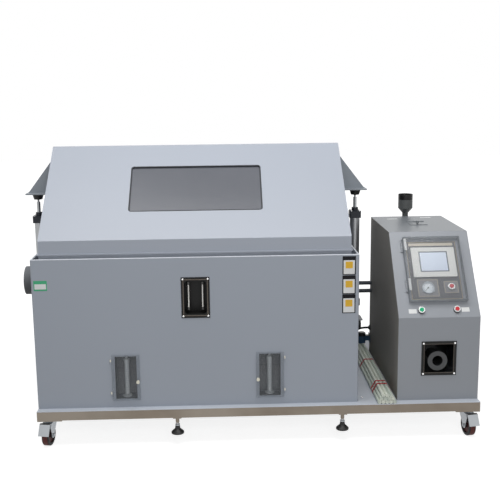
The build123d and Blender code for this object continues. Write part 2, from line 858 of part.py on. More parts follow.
# Hinges behind the tank: leaves with ears and pins on the tank, lugs on the lid
pivot_y = tank_back + hinge_back
pivot_z = deck_top + hinge_height
hinge_xs = (tank_left + hinge_inset, tank_right - hinge_inset)
leaf_width = 60
leaf_height = 80
leaf_sheet = 5
lug_side_gap = 0.5
with BuildPart() as hinge_tank_leaves:
    for x in hinge_xs:
        leaf_low = rim_top - leaf_sheet - leaf_height
        block(
            centred(x, leaf_width),
            (tank_back, tank_back + leaf_sheet),
            (leaf_low, leaf_low + leaf_height),
        )
        for side in (-1, 1):
            ear_x = x + side * (hinge_lug_width / 2 + lug_side_gap + hinge_ear / 2)
            with BuildSketch(Plane.YZ.offset(ear_x)):
                with BuildLine():
                    Polyline(
                        (tank_back + leaf_sheet / 2, leaf_low + 12),
                        (pivot_y + hinge_barrel, pivot_z),
                        (pivot_y - hinge_barrel, pivot_z),
                        (tank_back + leaf_sheet / 2, leaf_low + leaf_height - 12),
                        close=True,
                    )
                make_face()
                with Locations((pivot_y, pivot_z)):
                    Circle(hinge_barrel)
            extrude(amount=hinge_ear / 2, both=True)
        pin_length = hinge_lug_width + 2 * lug_side_gap + 2 * hinge_ear + 6
        rod_along("X", (x, pivot_y, pivot_z), hinge_pin_radius, pin_length)
hinge_tank_leaves.part.label = "hinge_tank_leaves"
export_step(hinge_tank_leaves.part, "parts/hinge_tank_leaves.step")

lid_leaf_low = rim_top + lid_lip_height + lid_lip_thickness + 3
lid_leaf_height = 50
with BuildPart() as hinge_lid_leaves:
    for x in hinge_xs:
        block(
            centred(x, leaf_width),
            (lid_y[1], lid_y[1] + leaf_sheet),
            (lid_leaf_low, lid_leaf_low + lid_leaf_height),
        )
        block(
            centred(x, hinge_lug_width),
            (lid_y[1] + leaf_sheet / 2, pivot_y),
            centred(pivot_z, 2 * hinge_pin_radius + 10),
        )
        rod_along("X", (x, pivot_y, pivot_z), hinge_barrel, hinge_lug_width)
        rod_along(
            "X",
            (x, pivot_y, pivot_z),
            hinge_pin_radius + running_fit,
            hinge_lug_width + 1,
            Mode.SUBTRACT,
        )
hinge_lid_leaves.part.label = "hinge_lid_leaves"
export_step(hinge_lid_leaves.part, "parts/hinge_lid_leaves.step")

# Cylinder brackets on the tank's sides, with the pins that the cylinders swing on
bracket_reach = 90
bracket_depth = 80
bracket_drop = 23
gusset_height = 86
ear_depth = 40
tang_gap = 0.5
cylinder_pivot_z = deck_top + cylinder_pivot_height
shelf_high = cylinder_pivot_z - bracket_drop
with BuildPart() as cylinder_brackets:
    for side, wall_x, x in zip((-1, 1), (tank_left, tank_right), cylinder_xs):
        far_x = wall_x + side * bracket_reach
        shelf_low = shelf_high - bracket_sheet
        block(sorted((wall_x, far_x)), centred(tank_middle_y, bracket_depth), (shelf_low, shelf_high))
        block(
            sorted((wall_x, wall_x + side * bracket_sheet / 2)),
            centred(tank_middle_y, bracket_depth),
            (shelf_low - gusset_height, shelf_high + 20),
        )
        with BuildSketch(Plane.XZ.offset(-tank_middle_y)):
            with BuildLine():
                Polyline(
                    (wall_x, shelf_low),
                    (far_x - side * bracket_sheet, shelf_low),
                    (wall_x, shelf_low - gusset_height),
                    close=True,
                )
            make_face()
        extrude(amount=bracket_sheet / 2, both=True)
        for ear_side in (-1, 1):
            ear_x = x + ear_side * (tang_width / 2 + tang_gap + bracket_sheet / 2)
            block(
                centred(ear_x, bracket_sheet),
                centred(tank_middle_y, ear_depth),
                (shelf_low, cylinder_pivot_z),
            )
            rod_along("X", (ear_x, tank_middle_y, cylinder_pivot_z), ear_depth / 2, bracket_sheet)
        rod_along(
            "X",
            (x, tank_middle_y, cylinder_pivot_z),
            pivot_pin_radius,
            tang_width + 2 * tang_gap + 2 * bracket_sheet + 8,
        )
cylinder_brackets.part.label = "cylinder_brackets"
export_step(cylinder_brackets.part, "parts/cylinder_brackets.step")

# Lid cylinders and their rods
lower_cap_low = cylinder_pivot_z + 41
tube_low = lower_cap_low + cap_length
tube_high = tube_low + tube_length
head_high = tube_high + cap_length
gland_high = head_high + gland_length
piston_length = 20
piston_low = tube_low + 7
ball_z = deck_top + ball_height
neck_radius = 4.5
neck_length = 14
for name, rod_name, x in zip(
    ("cylinder_left", "cylinder_right"), ("rod_left", "rod_right"), cylinder_xs
):
    axis_point = (x, tank_middle_y)
    with BuildPart() as lift_cylinder:
        for low in (lower_cap_low, tube_high):
            with BuildSketch(Plane.XY.offset(low)):
                with Locations(axis_point):
                    RectangleRounded(cylinder_cap, cylinder_cap, 5)
            extrude(amount=cap_length)
        rod_along("Z", (*axis_point, (tube_low + tube_high) / 2), cylinder_tube_radius, tube_length)
        rod_along("Z", (*axis_point, head_high + gland_length / 2), gland_radius, gland_length)
        block(
            centred(x, tang_width),
            centred(tank_middle_y, 2 * gland_radius),
            (cylinder_pivot_z, lower_cap_low),
        )
        rod_along("X", (*axis_point, cylinder_pivot_z), gland_radius, tang_width)
        rod_along(
            "X",
            (*axis_point, cylinder_pivot_z),
            pivot_pin_radius + running_fit,
            tang_width + 1,
            Mode.SUBTRACT,
        )
        rod_along(
            "Z",
            (*axis_point, (tube_low + tube_high) / 2),
            cylinder_bore,
            tube_length,
            Mode.SUBTRACT,
        )
        rod_along(
            "Z",
            (*axis_point, (tube_high + gland_high) / 2),
            rod_radius + running_fit,
            gland_high - tube_high + 2,
            Mode.SUBTRACT,
        )
    lift_cylinder.part.label = name
    export_step(lift_cylinder.part, f"parts/{name}.step")

    with BuildPart() as lift_rod:
        piston_middle = piston_low + piston_length / 2
        rod_along("Z", (*axis_point, piston_middle), cylinder_bore - running_fit, piston_length)
        neck_low = ball_z - neck_length
        rod_along("Z", (*axis_point, (piston_low + neck_low) / 2), rod_radius, neck_low - piston_low)
        rod_along("Z", (*axis_point, (neck_low + ball_z) / 2), neck_radius, neck_length)
        with Locations((*axis_point, ball_z)):
            Sphere(ball_radius)
    lift_rod.part.label = rod_name
    export_step(lift_rod.part, f"parts/{rod_name}.step")

# Casters: top plates with king pins, forks with axle bolts, wheels and brake pedals
pivot_xs = (tank_left + caster_inset_x, frame_right - caster_inset_x)
pivot_ys = (frame_front + caster_inset_y, frame_back - caster_inset_y)
casters = {
    "front_left": (pivot_xs[0], pivot_ys[0], -front_caster_turn, True),
    "front_right": (pivot_xs[1], pivot_ys[0], front_caster_turn, True),
    "rear_left": (pivot_xs[0], pivot_ys[1], 180 + rear_caster_turn, False),
    "rear_right": (pivot_xs[1], pivot_ys[1], 180 - rear_caster_turn, False),
}
plate_high = caster_height - corner_plate
head_high_z = plate_high - top_plate - part_gap
head_length = 13.5
head_radius = 22
fork_top = head_high_z - head_length
king_head = 3
king_head_radius = 9
pedal_pin_radius = 3
pedal_pin = (-46, 94)
fork_width = fork_gap + 2 * fork_sheet
with BuildPart() as caster_top_plates:
    for x, y, turn, brake in casters.values():
        with Locations((x, y, plate_high - top_plate / 2)):
            Box(62, 84, top_plate)
        pin_low = fork_top - fork_sheet - part_gap - king_head
        rod_along("Z", (x, y, (plate_high + pin_low) / 2), king_pin_radius, plate_high - pin_low)
        rod_along("Z", (x, y, pin_low + king_head / 2), king_head_radius, king_head)
caster_top_plates.part.label = "caster_top_plates"
export_step(caster_top_plates.part, "parts/caster_top_plates.step")

for name, (x, y, turn, brake) in casters.items():
    facing = (cos(radians(turn)), sin(radians(turn)), 0)
    caster_plane = Plane(origin=(x, y, 0), x_dir=facing, z_dir=(0, 0, 1))
    leg_plane = Plane(origin=(x, y, 0), x_dir=(-facing[1], facing[0], 0), z_dir=facing)
    with BuildPart(caster_plane) as caster_fork:
        rod_along("Z", (0, 0, fork_top + head_length / 2), head_radius, head_length)
        block((-fork_width / 2, fork_width / 2), (-36, 20), (fork_top - fork_sheet, fork_top))
        for side in (-1, 1):
            with BuildSketch(leg_plane.offset(side * (fork_gap + fork_sheet) / 2)):
                with BuildLine():
                    Polyline(
                        (20, fork_top),
                        (-50, fork_top),
                        (-53, fork_top - 4),
                        (-53, 86),
                        (-wheel_trail - 12, wheel_radius),
                        (-wheel_trail + 12, wheel_radius),
                        (14, 84),
                        close=True,
                    )
                make_face()
                with Locations((-wheel_trail, wheel_radius)):
                    Circle(12)
            extrude(amount=fork_sheet / 2, both=True)
        axle_place = (0, -wheel_trail, wheel_radius)
        rod_along("X", axle_place, axle_radius, fork_width + 12)
        for side in (-1, 1):
            nut_place = (side * (fork_width / 2 + 2.5), -wheel_trail, wheel_radius)
            rod_along("X", nut_place, 6.5, 5)
        if brake:
            rod_along("X", (0, *pedal_pin), pedal_pin_radius, fork_width + 2)
        rod_along("Z", (0, 0, plate_high), king_pin_radius + running_fit, 60, Mode.SUBTRACT)
    caster_fork.part.label = f"caster_fork_{name}"
    export_step(caster_fork.part, f"parts/caster_fork_{name}.step")

    with BuildPart(caster_plane) as caster_wheel:
        rod_along("X", axle_place, wheel_radius, wheel_width)
        tread_edges = caster_wheel.edges().filter_by(GeomType.CIRCLE)
        fillet(tread_edges, 4)
        for side in (-1, 1):
            dish_place = (side * wheel_width / 2, -wheel_trail, wheel_radius)
            rod_along("X", dish_place, wheel_radius - 12, 10, Mode.SUBTRACT)
        rod_along("X", axle_place, 11, fork_gap - 1)
        bore_length = fork_gap + 1
        rod_along("X", axle_place, axle_radius + running_fit, bore_length, Mode.SUBTRACT)
    caster_wheel.part.label = f"caster_wheel_{name}"
    export_step(caster_wheel.part, f"parts/caster_wheel_{name}.step")

    if brake:
        with BuildPart(caster_plane) as brake_pedal:
            rod_along("X", (0, *pedal_pin), 5, fork_gap - 1)
            block((-16, 16), (-70, pedal_pin[0]), (pedal_pin[1] - 3, pedal_pin[1] + 3))
            with BuildSketch(leg_plane):
                with BuildLine():
                    Polyline(
                        (-54, 107),
                        (-66, 105),
                        (-84, 70),
                        (-wheel_trail - pedal_reach, 63),
                        (-wheel_trail - pedal_reach + 1, 61),
                        (-82, 68),
                        (-64, 103),
                        (-54, 105),
                        close=True,
                    )
                make_face()
            extrude(amount=23, both=True)
            pin_bore = pedal_pin_radius + running_fit
            rod_along("X", (0, *pedal_pin), pin_bore, fork_gap + 1, Mode.SUBTRACT)
        brake_pedal.part.label = f"brake_pedal_{name}"
        export_step(brake_pedal.part, f"parts/brake_pedal_{name}.step")

# Levelling feet: threaded stem, bell and pad
foot_names = ("front_left", "front_right", "rear_left", "rear_right")
for name, (x, y) in zip(foot_names, foot_places):
    with BuildPart() as levelling_foot:
        with BuildSketch(Plane.XZ.offset(-y)):
            with BuildLine():
                Polyline(
                    (x, foot_clearance),
                    (x + foot_pad_radius, foot_clearance),
                    (x + foot_pad_radius, foot_clearance + 6),
                    (x + foot_pad_radius - 6, foot_clearance + 12),
                    (x + 12, foot_clearance + 20),
                    (x + 9.5, foot_clearance + foot_bell_height),
                    (x + foot_stem_radius, foot_clearance + foot_bell_height),
                    (x + foot_stem_radius, foot_stem_top),
                    (x, foot_stem_top),
                    close=True,
                )
            make_face()
        revolve(axis=Axis((x, y, 0), (0, 0, 1)))
    levelling_foot.part.label = f"levelling_foot_{name}"
    export_step(levelling_foot.part, f"parts/levelling_foot_{name}.step")

# Console cabinet: one folded shell, open below and behind
console_x = (console_left, console_left + console_width)
bend_z = deck_top + console_front_height
console_top = deck_top + console_height
slope_rise = console_height - console_front_height
slope_angle = atan2(slope_rise, console_slope_run)
console_slope = Plane(
    origin=(console_left, console_front, bend_z),
    x_dir=(1, 0, 0),
    z_dir=(0, -sin(slope_angle), cos(slope_angle)),
)
fold_radius = 3
back_flange = 15
touch_body = (touch_width - 16, touch_height - 16)
gauge_body_radius = 23
barrel_radius = 11
window_size = 150
window_opening = 122
window_middle = (console_left + 175.5, deck_top + 185.5)
hatch_size = 80
hatch_opening = 68
hatch_middle = (console_left + 177, console_front + 466)
hatch_hinge = (console_front + 510, console_top + 3.9)
hatch_knuckle = 12
hatch_lift = part_gap
cover_axis = (cover_left - 4, 4)
cover_knuckle = 12
cover_hinges = (cover_bottom + 76, cover_bottom + 267)
cover_hinge_length = 60
hose_console_back = hose_back + 10
hose_console_height = 128
hose_console_place = (console_left, tank_front + hose_console_back, deck_top + hose_console_height)


def bend_height(wall):
    """Where the front turns into the slope, a wall's thickness inside the outer faces."""
    return bend_z - wall * tan(pi / 4 - slope_angle / 2)


def crest_depth(wall):
    """Where the slope turns into the top, a wall's thickness inside the outer faces."""
    return console_front + console_slope_run + wall * tan(slope_angle / 2)


def console_profile(wall, low, back):
    """The console's side outline on the YZ plane, a wall's thickness inside the outer faces."""
    return Polyline(
        (console_front + wall, low),
        (console_front + wall, bend_height(wall)),
        (crest_depth(wall), console_top - wall),
        (back, console_top - wall),
        (back, low),
        close=True,
    )


with BuildPart() as console_shell:
    with BuildSketch(Plane.YZ.offset(console_x[0])):
        with BuildLine():
            console_profile(0, deck_top, console_back)
        make_face()
    extrude(amount=console_width)
    folds = console_shell.edges().filter_by(
        lambda edge: edge.center().Z > deck_top + 1 and edge.center().Y < console_back - 1
    )
    fillet(folds, fold_radius)
    with BuildSketch(Plane.YZ.offset(console_x[0] + sheet)):
        with BuildLine():
            console_profile(sheet, deck_top - 1, console_back + 1)
        make_face()
    extrude(amount=console_width - 2 * sheet, mode=Mode.SUBTRACT)
    for edge_x in (
        (console_x[0] + sheet, console_x[0] + back_flange),
        (console_x[1] - back_flange, console_x[1] - sheet),
    ):
        block(edge_x, (console_back - sheet, console_back), (deck_top, console_top - sheet))
    block(
        (console_x[0] + sheet, console_x[1] - sheet),
        (console_back - sheet, console_back),
        (console_top - back_flange, console_top - sheet),
    )
    with BuildSketch(console_slope.offset(2 * sheet)):
        with Locations(touch_middle):
            Rectangle(touch_body[0] + 2 * hole_clearance, touch_body[1] + 2 * hole_clearance)
        with Locations(gauge_middle):
            Circle(gauge_body_radius + hole_clearance)
        with Locations(power_middle, start_middle, stop_middle):
            Circle(barrel_radius + hole_clearance)
    extrude(amount=-4 * sheet, mode=Mode.SUBTRACT)
    block(
        centred(window_middle[0], window_opening + 4),
        (console_front - 1, console_front + 2 * sheet),
        centred(window_middle[1], window_opening + 4),
        Mode.SUBTRACT,
    )
    block(
        centred(hatch_middle[0], hatch_opening),
        centred(hatch_middle[1], hatch_opening),
        (console_top - 2 * sheet, console_top + 1),
        Mode.SUBTRACT,
    )
    for height in pipe_heights:
        pipe_place = (console_left, tank_front + pipe_back, deck_top + height)
        rod_along("X", pipe_place, pipe_radius + hole_clearance, 4 * sheet, Mode.SUBTRACT)
    rod_along("X", hose_console_place, grommet_radius + hole_clearance, 4 * sheet, Mode.SUBTRACT)

with BuildPart() as hatch_knuckles:
    for side in (-1, 1):
        knuckle_x = hatch_middle[0] + side * (hatch_size / 2 - hatch_knuckle / 2)
        rod_along("X", (knuckle_x, *hatch_hinge), knuckle_radius, hatch_knuckle)
        block(
            centred(knuckle_x, hatch_knuckle),
            (hatch_hinge[0], hatch_hinge[0] + 2 * knuckle_radius),
            (console_top, hatch_hinge[1]),
        )
    rod_along("X", (hatch_middle[0], *hatch_hinge), hinge_pin, hatch_size)

with BuildPart(console_slope) as cover_knuckles:
    for s in cover_hinges:
        block((cover_axis[0] - 14, cover_axis[0] - 4), centred(s, cover_hinge_length), (0, 1.2))
        for side in (-1, 1):
            knuckle_s = s + side * (cover_hinge_length - cover_knuckle) / 2
            place = (cover_axis[0], knuckle_s, cover_axis[1])
            rod_along("Y", place, knuckle_radius, cover_knuckle)
            block(
                (cover_axis[0] - 5, cover_axis[0] + 3),
                centred(knuckle_s, cover_knuckle),
                (0, cover_axis[1]),
            )
        rod_along("Y", (cover_axis[0], s, cover_axis[1]), hinge_pin, cover_hinge_length)

side_planes = [Plane.YZ.offset(console_x[0] + sheet), Plane.YZ.offset(console_x[1] - sheet)]
console_panels = cut_apart(console_shell.part.solids(), side_planes)
left_side, bent_sheet, right_side = sorted(console_panels, key=lambda s: s.center().X)
bend_planes = [Plane.XY.offset(bend_height(sheet)), Plane.XZ.offset(-crest_depth(sheet))]
bend_planes.append(Plane.XZ.offset(sheet - console_back))
*bent_panels, rear_edge = sorted(cut_apart([bent_sheet], bend_planes), key=lambda s: s.center().Y)
edge_planes = [Plane.YZ.offset(console_x[0] + back_flange), Plane.YZ.offset(console_x[1] - back_flange)]
cabinet_sheets = [left_side, right_side, *bent_panels, *cut_apart([rear_edge], edge_planes)]
console_cabinet = Compound(
    children=[*cabinet_sheets, *hatch_knuckles.part.solids(), *cover_knuckles.part.solids()]
)
console_cabinet.label = "console_cabinet"
export_step(console_cabinet, "parts/console_cabinet.step")

# Console rear cover with its screws
filler_back = 735
filler_x = console_left + 176
filler_neck = 14.5
filler_turn_height = 600
gland_place = (console_left + 300, deck_top + 60)
air_place = (console_left + 60, deck_top + 80)
water_place = (console_left + 60, deck_top + 140)
fitting_radius = 8
cover_margin = 1
with BuildPart() as console_rear_cover:
    block(
        (console_x[0] + cover_margin, console_x[1] - cover_margin),
        (console_back, console_back + sheet),
        (deck_top + cover_margin, console_top - cover_margin),
    )
    neck_place = (filler_x, console_back, deck_top + filler_turn_height)
    rod_along("Y", neck_place, filler_neck + hole_clearance, 6 * sheet, Mode.SUBTRACT)
    for x, z in (gland_place, air_place, water_place):
        rod_along("Y", (x, console_back, z), fitting_radius + hole_clearance, 6 * sheet, Mode.SUBTRACT)
    screw_inset = back_flange / 2 + sheet
    for x in (console_x[0] + screw_inset, console_x[1] - screw_inset):
        for number in range(4):
            screw_z = deck_top + 30 + number * (console_height - 60) / 3
            rod_along("Y", (x, console_back + sheet + 1, screw_z), 4, 2)
console_rear_cover.part.label = "console_rear_cover"
export_step(console_rear_cover.part, "parts/console_rear_cover.step")

# Control plate on the slope, with two raised plates round the gauge and the power button
plate_sheet = 1
raised_sheet = 0.8
plate_margin = 14
plate_x = (cover_left + plate_margin, cover_left + cover_width - plate_margin)
plate_s = (cover_bottom + plate_margin - 4, cover_bottom + cover_height - plate_margin)
raised_top = plate_sheet + raised_sheet
with BuildPart(console_slope) as control_plate:
    block(plate_x, plate_s, (0, plate_sheet))
    block(
        centred(gauge_middle[0], 93),
        centred(gauge_middle[1], 83),
        (plate_sheet, raised_top),
    )
    block(
        centred(power_middle[0], 63),
        centred(power_middle[1], 58),
        (plate_sheet, raised_top),
    )
    block(
        centred(touch_middle[0], touch_body[0] + 2 * hole_clearance),
        centred(touch_middle[1], touch_body[1] + 2 * hole_clearance),
        (-1, 4 * plate_sheet),
        Mode.SUBTRACT,
    )
    rod_along("Z", (*gauge_middle, 0), gauge_body_radius + hole_clearance, 8, Mode.SUBTRACT)
    rod_along("Z", (*power_middle, 0), barrel_radius + hole_clearance, 8, Mode.SUBTRACT)
control_plate.part.label = "control_plate"
export_step(control_plate.part, "parts/control_plate.step")

# Touch panel: a housing behind the slope, a bezel in front, and the screen in its recess
bezel_proud = 6
touch_depth = 30
screen_drop = 1
screen_lift = 2
with BuildPart(console_slope) as touch_panel:
    block(
        centred(touch_middle[0], touch_body[0]),
        centred(touch_middle[1], touch_body[1]),
        (-touch_depth, plate_sheet),
    )
    with BuildSketch(console_slope.offset(plate_sheet)):
        with Locations(touch_middle):
            RectangleRounded(touch_width, touch_height, 4)
    extrude(amount=bezel_proud - plate_sheet)
    with BuildSketch(console_slope.offset(bezel_proud)):
        with Locations((touch_middle[0], touch_middle[1] + screen_lift)):
            Rectangle(screen_width, screen_height)
    extrude(amount=-screen_drop, mode=Mode.SUBTRACT)
touch_panel.part.label = "touch_panel"
export_step(touch_panel.part, "parts/touch_panel.step")

# Gauge: a flanged case with lugs, a dial recess, a spindle and its needle
gauge_proud = 5
dial_depth = 3.5
spindle_radius = 0.8
gauge_body_depth = 18
gauge_face = raised_top + gauge_proud - dial_depth
with BuildPart(console_slope) as gauge_case:
    block_top = raised_top + gauge_proud
    middle = (block_top + raised_top) / 2
    rod_along("Z", (*gauge_middle, middle), gauge_radius, gauge_proud)
    rod_along("Z", (*gauge_middle, -gauge_body_depth / 2), gauge_body_radius, gauge_body_depth)
    rod_along("Z", (*gauge_middle, raised_top / 2), gauge_body_radius, raised_top)
    for turn in (90, 210, 330):
        lug_x = gauge_middle[0] + gauge_radius * cos(radians(turn))
        lug_s = gauge_middle[1] + gauge_radius * sin(radians(turn))
        rod_along("Z", (lug_x, lug_s, raised_top + 1), 4, 2)
    rod_along("Z", (*gauge_middle, block_top), gauge_radius - 3.5, 2 * dial_depth, Mode.SUBTRACT)
    rod_along("Z", (*gauge_middle, gauge_face + 1.4), spindle_radius, 2.8)
gauge_case.part.label = "gauge_case"
export_step(gauge_case.part, "parts/gauge_case.step")

needle_length = 19
needle_rest = 225
needle_middle = gauge_face + 1.6
with BuildPart(console_slope) as gauge_needle:
    rod_along("Z", (*gauge_middle, needle_middle), 3, 1.2)
    needle_x = gauge_middle[0] + needle_length / 2 * cos(radians(needle_rest))
    needle_s = gauge_middle[1] + needle_length / 2 * sin(radians(needle_rest))
    with Locations(Location((needle_x, needle_s, needle_middle), (0, 0, needle_rest))):
        Box(needle_length, 1.4, 0.6)
    bore = spindle_radius + running_fit
    rod_along("Z", (*gauge_middle, needle_middle), bore, 3, Mode.SUBTRACT)
gauge_needle.part.label = "gauge_needle"
export_step(gauge_needle.part, "parts/gauge_needle.step")

# Push buttons: bezels with their barrels and nuts, and the sprung caps that slide in them
base_ring = 4
barrel_depth = 25
cap_proud = 2
cap_depth = 22
buttons = {
    "button_start": (start_middle, 0),
    "button_stop": (stop_middle, 0),
    "button_power": (power_middle, raised_top),
}
with BuildPart(console_slope) as button_bezels:
    for middle, seat in buttons.values():
        rod_along("Z", (*middle, seat + base_ring / 2), bezel_radius, base_ring)
        rod_along("Z", (*middle, seat + bezel_height / 2), bezel_radius - 1, bezel_height)
        rod_along("Z", (*middle, (seat - barrel_depth) / 2), barrel_radius, seat + barrel_depth)
        rod_along("Z", (*middle, -sheet - 2.5), bezel_radius, 5)
        bore_length = 2 * (barrel_depth + bezel_height)
        rod_along("Z", (*middle, 0), button_radius + running_fit, bore_length, Mode.SUBTRACT)
button_bezels.part.label = "button_bezels"
export_step(button_bezels.part, "parts/button_bezels.step")

for name, (middle, seat) in buttons.items():
    with BuildPart(console_slope) as push_button:
        cap_top = seat + bezel_height + cap_proud
        rod_along("Z", (*middle, cap_top - cap_depth / 2), button_radius, cap_depth)
        fillet(push_button.edges().filter_by(GeomType.CIRCLE), 1)
    push_button.part.label = name
    export_step(push_button.part, f"parts/{name}.step")

# Clear cover over the controls: a hinged five-sided tray
cover_lift = 0.5
with BuildPart(console_slope) as panel_cover:
    cover_span_x = (cover_left, cover_left + cover_width)
    cover_span_s = (cover_bottom, cover_bottom + cover_height)
    block(cover_span_x, cover_span_s, (cover_lift, cover_depth))
    block(
        (cover_span_x[0] + cover_wall, cover_span_x[1] - cover_wall),
        (cover_span_s[0] + cover_wall, cover_span_s[1] - cover_wall),
        (cover_lift - 1, cover_depth - cover_wall),
        Mode.SUBTRACT,
    )
    moving_length = cover_hinge_length - 2 * cover_knuckle - 2 * part_gap
    for s in cover_hinges:
        place = (cover_axis[0], s, cover_axis[1])
        rod_along("Y", place, knuckle_radius, moving_length)
        block(
            (cover_axis[0], cover_left + cover_wall / 2),
            centred(s, moving_length),
            centred(cover_axis[1], 5),
        )
        rod_along("Y", place, hinge_pin + running_fit, moving_length + 1, Mode.SUBTRACT)
panel_cover.part.label = "panel_cover"
export_step(panel_cover.part, "parts/panel_cover.step")

# Hatch flap on the console's top
hatch_sheet = 2
hatch_knob_radius = 7
hatch_knob_height = 16
with BuildPart() as hatch_lid:
    flap_low = console_top + hatch_lift
    block(
        centred(hatch_middle[0], hatch_size),
        (hatch_middle[1] - hatch_size / 2, hatch_hinge[0] - knuckle_radius - part_gap),
        (flap_low, flap_low + hatch_sheet),
    )
    hinge_span = hatch_size - 2 * hatch_knuckle - 2 * part_gap
    rod_along("X", (hatch_middle[0], *hatch_hinge), knuckle_radius, hinge_span)
    block(
        centred(hatch_middle[0], hinge_span),
        (hatch_hinge[0] - knuckle_radius - 1, hatch_hinge[0]),
        (flap_low, flap_low + hatch_sheet),
    )
    rod_along(
        "X",
        (hatch_middle[0], *hatch_hinge),
        hinge_pin + running_fit,
        hinge_span + 1,
        Mode.SUBTRACT,
    )
    knob_place = (hatch_middle[0] - 5, hatch_middle[1] - hatch_size / 2 + 18)
    knob_low = flap_low + hatch_sheet
    rod_along("Z", (*knob_place, knob_low + 3), 4, 6)
    rod_along("Z", (*knob_place, knob_low + hatch_knob_height / 2 + 2), hatch_knob_radius, 12)
hatch_lid.part.label = "hatch_lid"
export_step(hatch_lid.part, "parts/hatch_lid.step")

# Inspection window: a plate round an opening in the console's front, with its screws
window_sheet = 3
window_screw = 67
with BuildPart() as inspection_window:
    block(
        centred(window_middle[0], window_size),
        (console_front - window_sheet, console_front),
        centred(window_middle[1], window_size),
    )
    block(
        centred(window_middle[0], window_opening),
        (console_front - 2 * window_sheet, console_front + 1),
        centred(window_middle[1], window_opening),
        Mode.SUBTRACT,
    )
    for side_x in (-1, 1):
        for side_z in (-1, 1):
            screw_x = window_middle[0] + side_x * window_screw
            screw_z = window_middle[1] + side_z * window_screw
            rod_along("Y", (screw_x, console_front - window_sheet - 1, screw_z), 4, 2)
inspection_window.part.label = "inspection_window"
export_step(inspection_window.part, "parts/inspection_window.step")

# Humidifier barrel inside the console, with its spout behind the window
humidifier_radius = 85
humidifier_wall = 3
humidifier_back = 200
humidifier_lift = 60
humidifier_low = deck_top + humidifier_lift
humidifier_height = 240
humidifier_high = humidifier_low + humidifier_height
spout_flange = 42.5
spout_bore = 22.5
spout_start = 6
spout_place = (console_left + 172, deck_top + 172)
with BuildPart() as humidifier_barrel:
    barrel_middle = (console_left + 175, console_front + humidifier_back)
    barrel_z = (humidifier_low + humidifier_high) / 2
    rod_along("Z", (*barrel_middle, barrel_z), humidifier_radius, humidifier_height)
    spout_y = (console_front + spout_start, barrel_middle[1] - humidifier_radius + 15)
    spout_length = spout_y[1] - spout_y[0]
    spout_middle = (spout_place[0], sum(spout_y) / 2, spout_place[1])
    rod_along("Y", spout_middle, spout_bore + humidifier_wall, spout_length)
    flange_place = (spout_place[0], spout_y[0] + 6, spout_place[1])
    rod_along("Y", flange_place, spout_flange, 12)
    rod_along(
        "Z",
        (*barrel_middle, barrel_z),
        humidifier_radius - humidifier_wall,
        humidifier_height - 2 * humidifier_wall,
        Mode.SUBTRACT,
    )
    rod_along("Y", spout_middle, spout_bore, spout_length + 10, Mode.SUBTRACT)
    filler_y = barrel_middle[1] + humidifier_radius - 30
    filler_hole = (filler_x, filler_y, humidifier_high)
    rod_along("Z", filler_hole, filler_neck - 2, 4 * humidifier_wall, Mode.SUBTRACT)
    for turn in (90, 210, 330):
        leg_x = barrel_middle[0] + 70 * cos(radians(turn))
        leg_y = barrel_middle[1] + 70 * sin(radians(turn))
        rod_along("Z", (leg_x, leg_y, (deck_top + humidifier_low) / 2), 8, humidifier_low - deck_top)
humidifier_barrel.part.label = "humidifier_barrel"
export_step(humidifier_barrel.part, "parts/humidifier_barrel.step")

# Filler funnel behind the console, with its pipe through the rear cover to the barrel
cup_radius = 35.5
cup_wall = 2
cup_neck_rise = 106
cup_cone = 24
cup_depth = 69
cup_neck_top = deck_top + filler_turn_height + cup_neck_rise
cup_low = cup_neck_top + cup_cone
cup_high = cup_low + cup_depth
filler_y_out = tank_front + filler_back
with BuildPart() as filler_funnel:
    with BuildSketch(Plane.XZ.offset(-filler_y_out)):
        with BuildLine():
            Polyline(
                (filler_x + filler_neck - 2, cup_neck_top),
                (filler_x + filler_neck, cup_neck_top),
                (filler_x + cup_radius, cup_low),
                (filler_x + cup_radius, cup_high),
                (filler_x + cup_radius - cup_wall, cup_high),
                (filler_x + cup_radius - cup_wall, cup_low + 1),
                close=True,
            )
        make_face()
    revolve(axis=Axis((filler_x, filler_y_out, 0), (0, 0, 1)))
    with BuildLine() as filler_path:
        FilletPolyline(
            (filler_x, filler_y_out, cup_neck_top),
            (filler_x, filler_y_out, deck_top + filler_turn_height),
            (filler_x, filler_y, deck_top + filler_turn_height),
            (filler_x, filler_y, humidifier_high),
            radius=25,
        )
    with BuildSketch(filler_path.line ^ 0):
        Circle(filler_neck)
        Circle(filler_neck - 2, mode=Mode.SUBTRACT)
    sweep(path=filler_path.line)
filler_funnel.part.label = "filler_funnel"
export_step(filler_funnel.part, "parts/filler_funnel.step")

# Pipes between the console and the tank
pipe_bore = 7
pipe_end = console_left + 25
feed_x = cavity_x[1] - 60
fill_x = cavity_x[1] - 30
pipe_y = tank_front + pipe_back
feed_z = inner_floor + nozzle_height
with BuildPart() as connecting_pipes:
    with BuildLine() as feed_path:
        FilletPolyline(
            (pipe_end, pipe_y, deck_top + pipe_heights[0]),
            (feed_x, pipe_y, deck_top + pipe_heights[0]),
            (feed_x, pipe_y, feed_z),
            (feed_x, tank_middle_y, feed_z),
            (tank_middle_x + 22.3, tank_middle_y, feed_z),
            radius=30,
        )
    with BuildSketch(feed_path.line ^ 0):
        Circle(pipe_radius)
        Circle(pipe_bore, mode=Mode.SUBTRACT)
    sweep(path=feed_path.line)
    with BuildLine() as fill_path:
        FilletPolyline(
            (pipe_end, pipe_y, deck_top + pipe_heights[1]),
            (fill_x, pipe_y, deck_top + pipe_heights[1]),
            (fill_x, pipe_y, inner_floor + 30),
            radius=20,
        )
    with BuildSketch(fill_path.line ^ 0):
        Circle(pipe_radius)
        Circle(pipe_bore, mode=Mode.SUBTRACT)
    sweep(path=fill_path.line)
connecting_pipes.part.label = "connecting_pipes"
export_step(connecting_pipes.part, "parts/connecting_pipes.step")

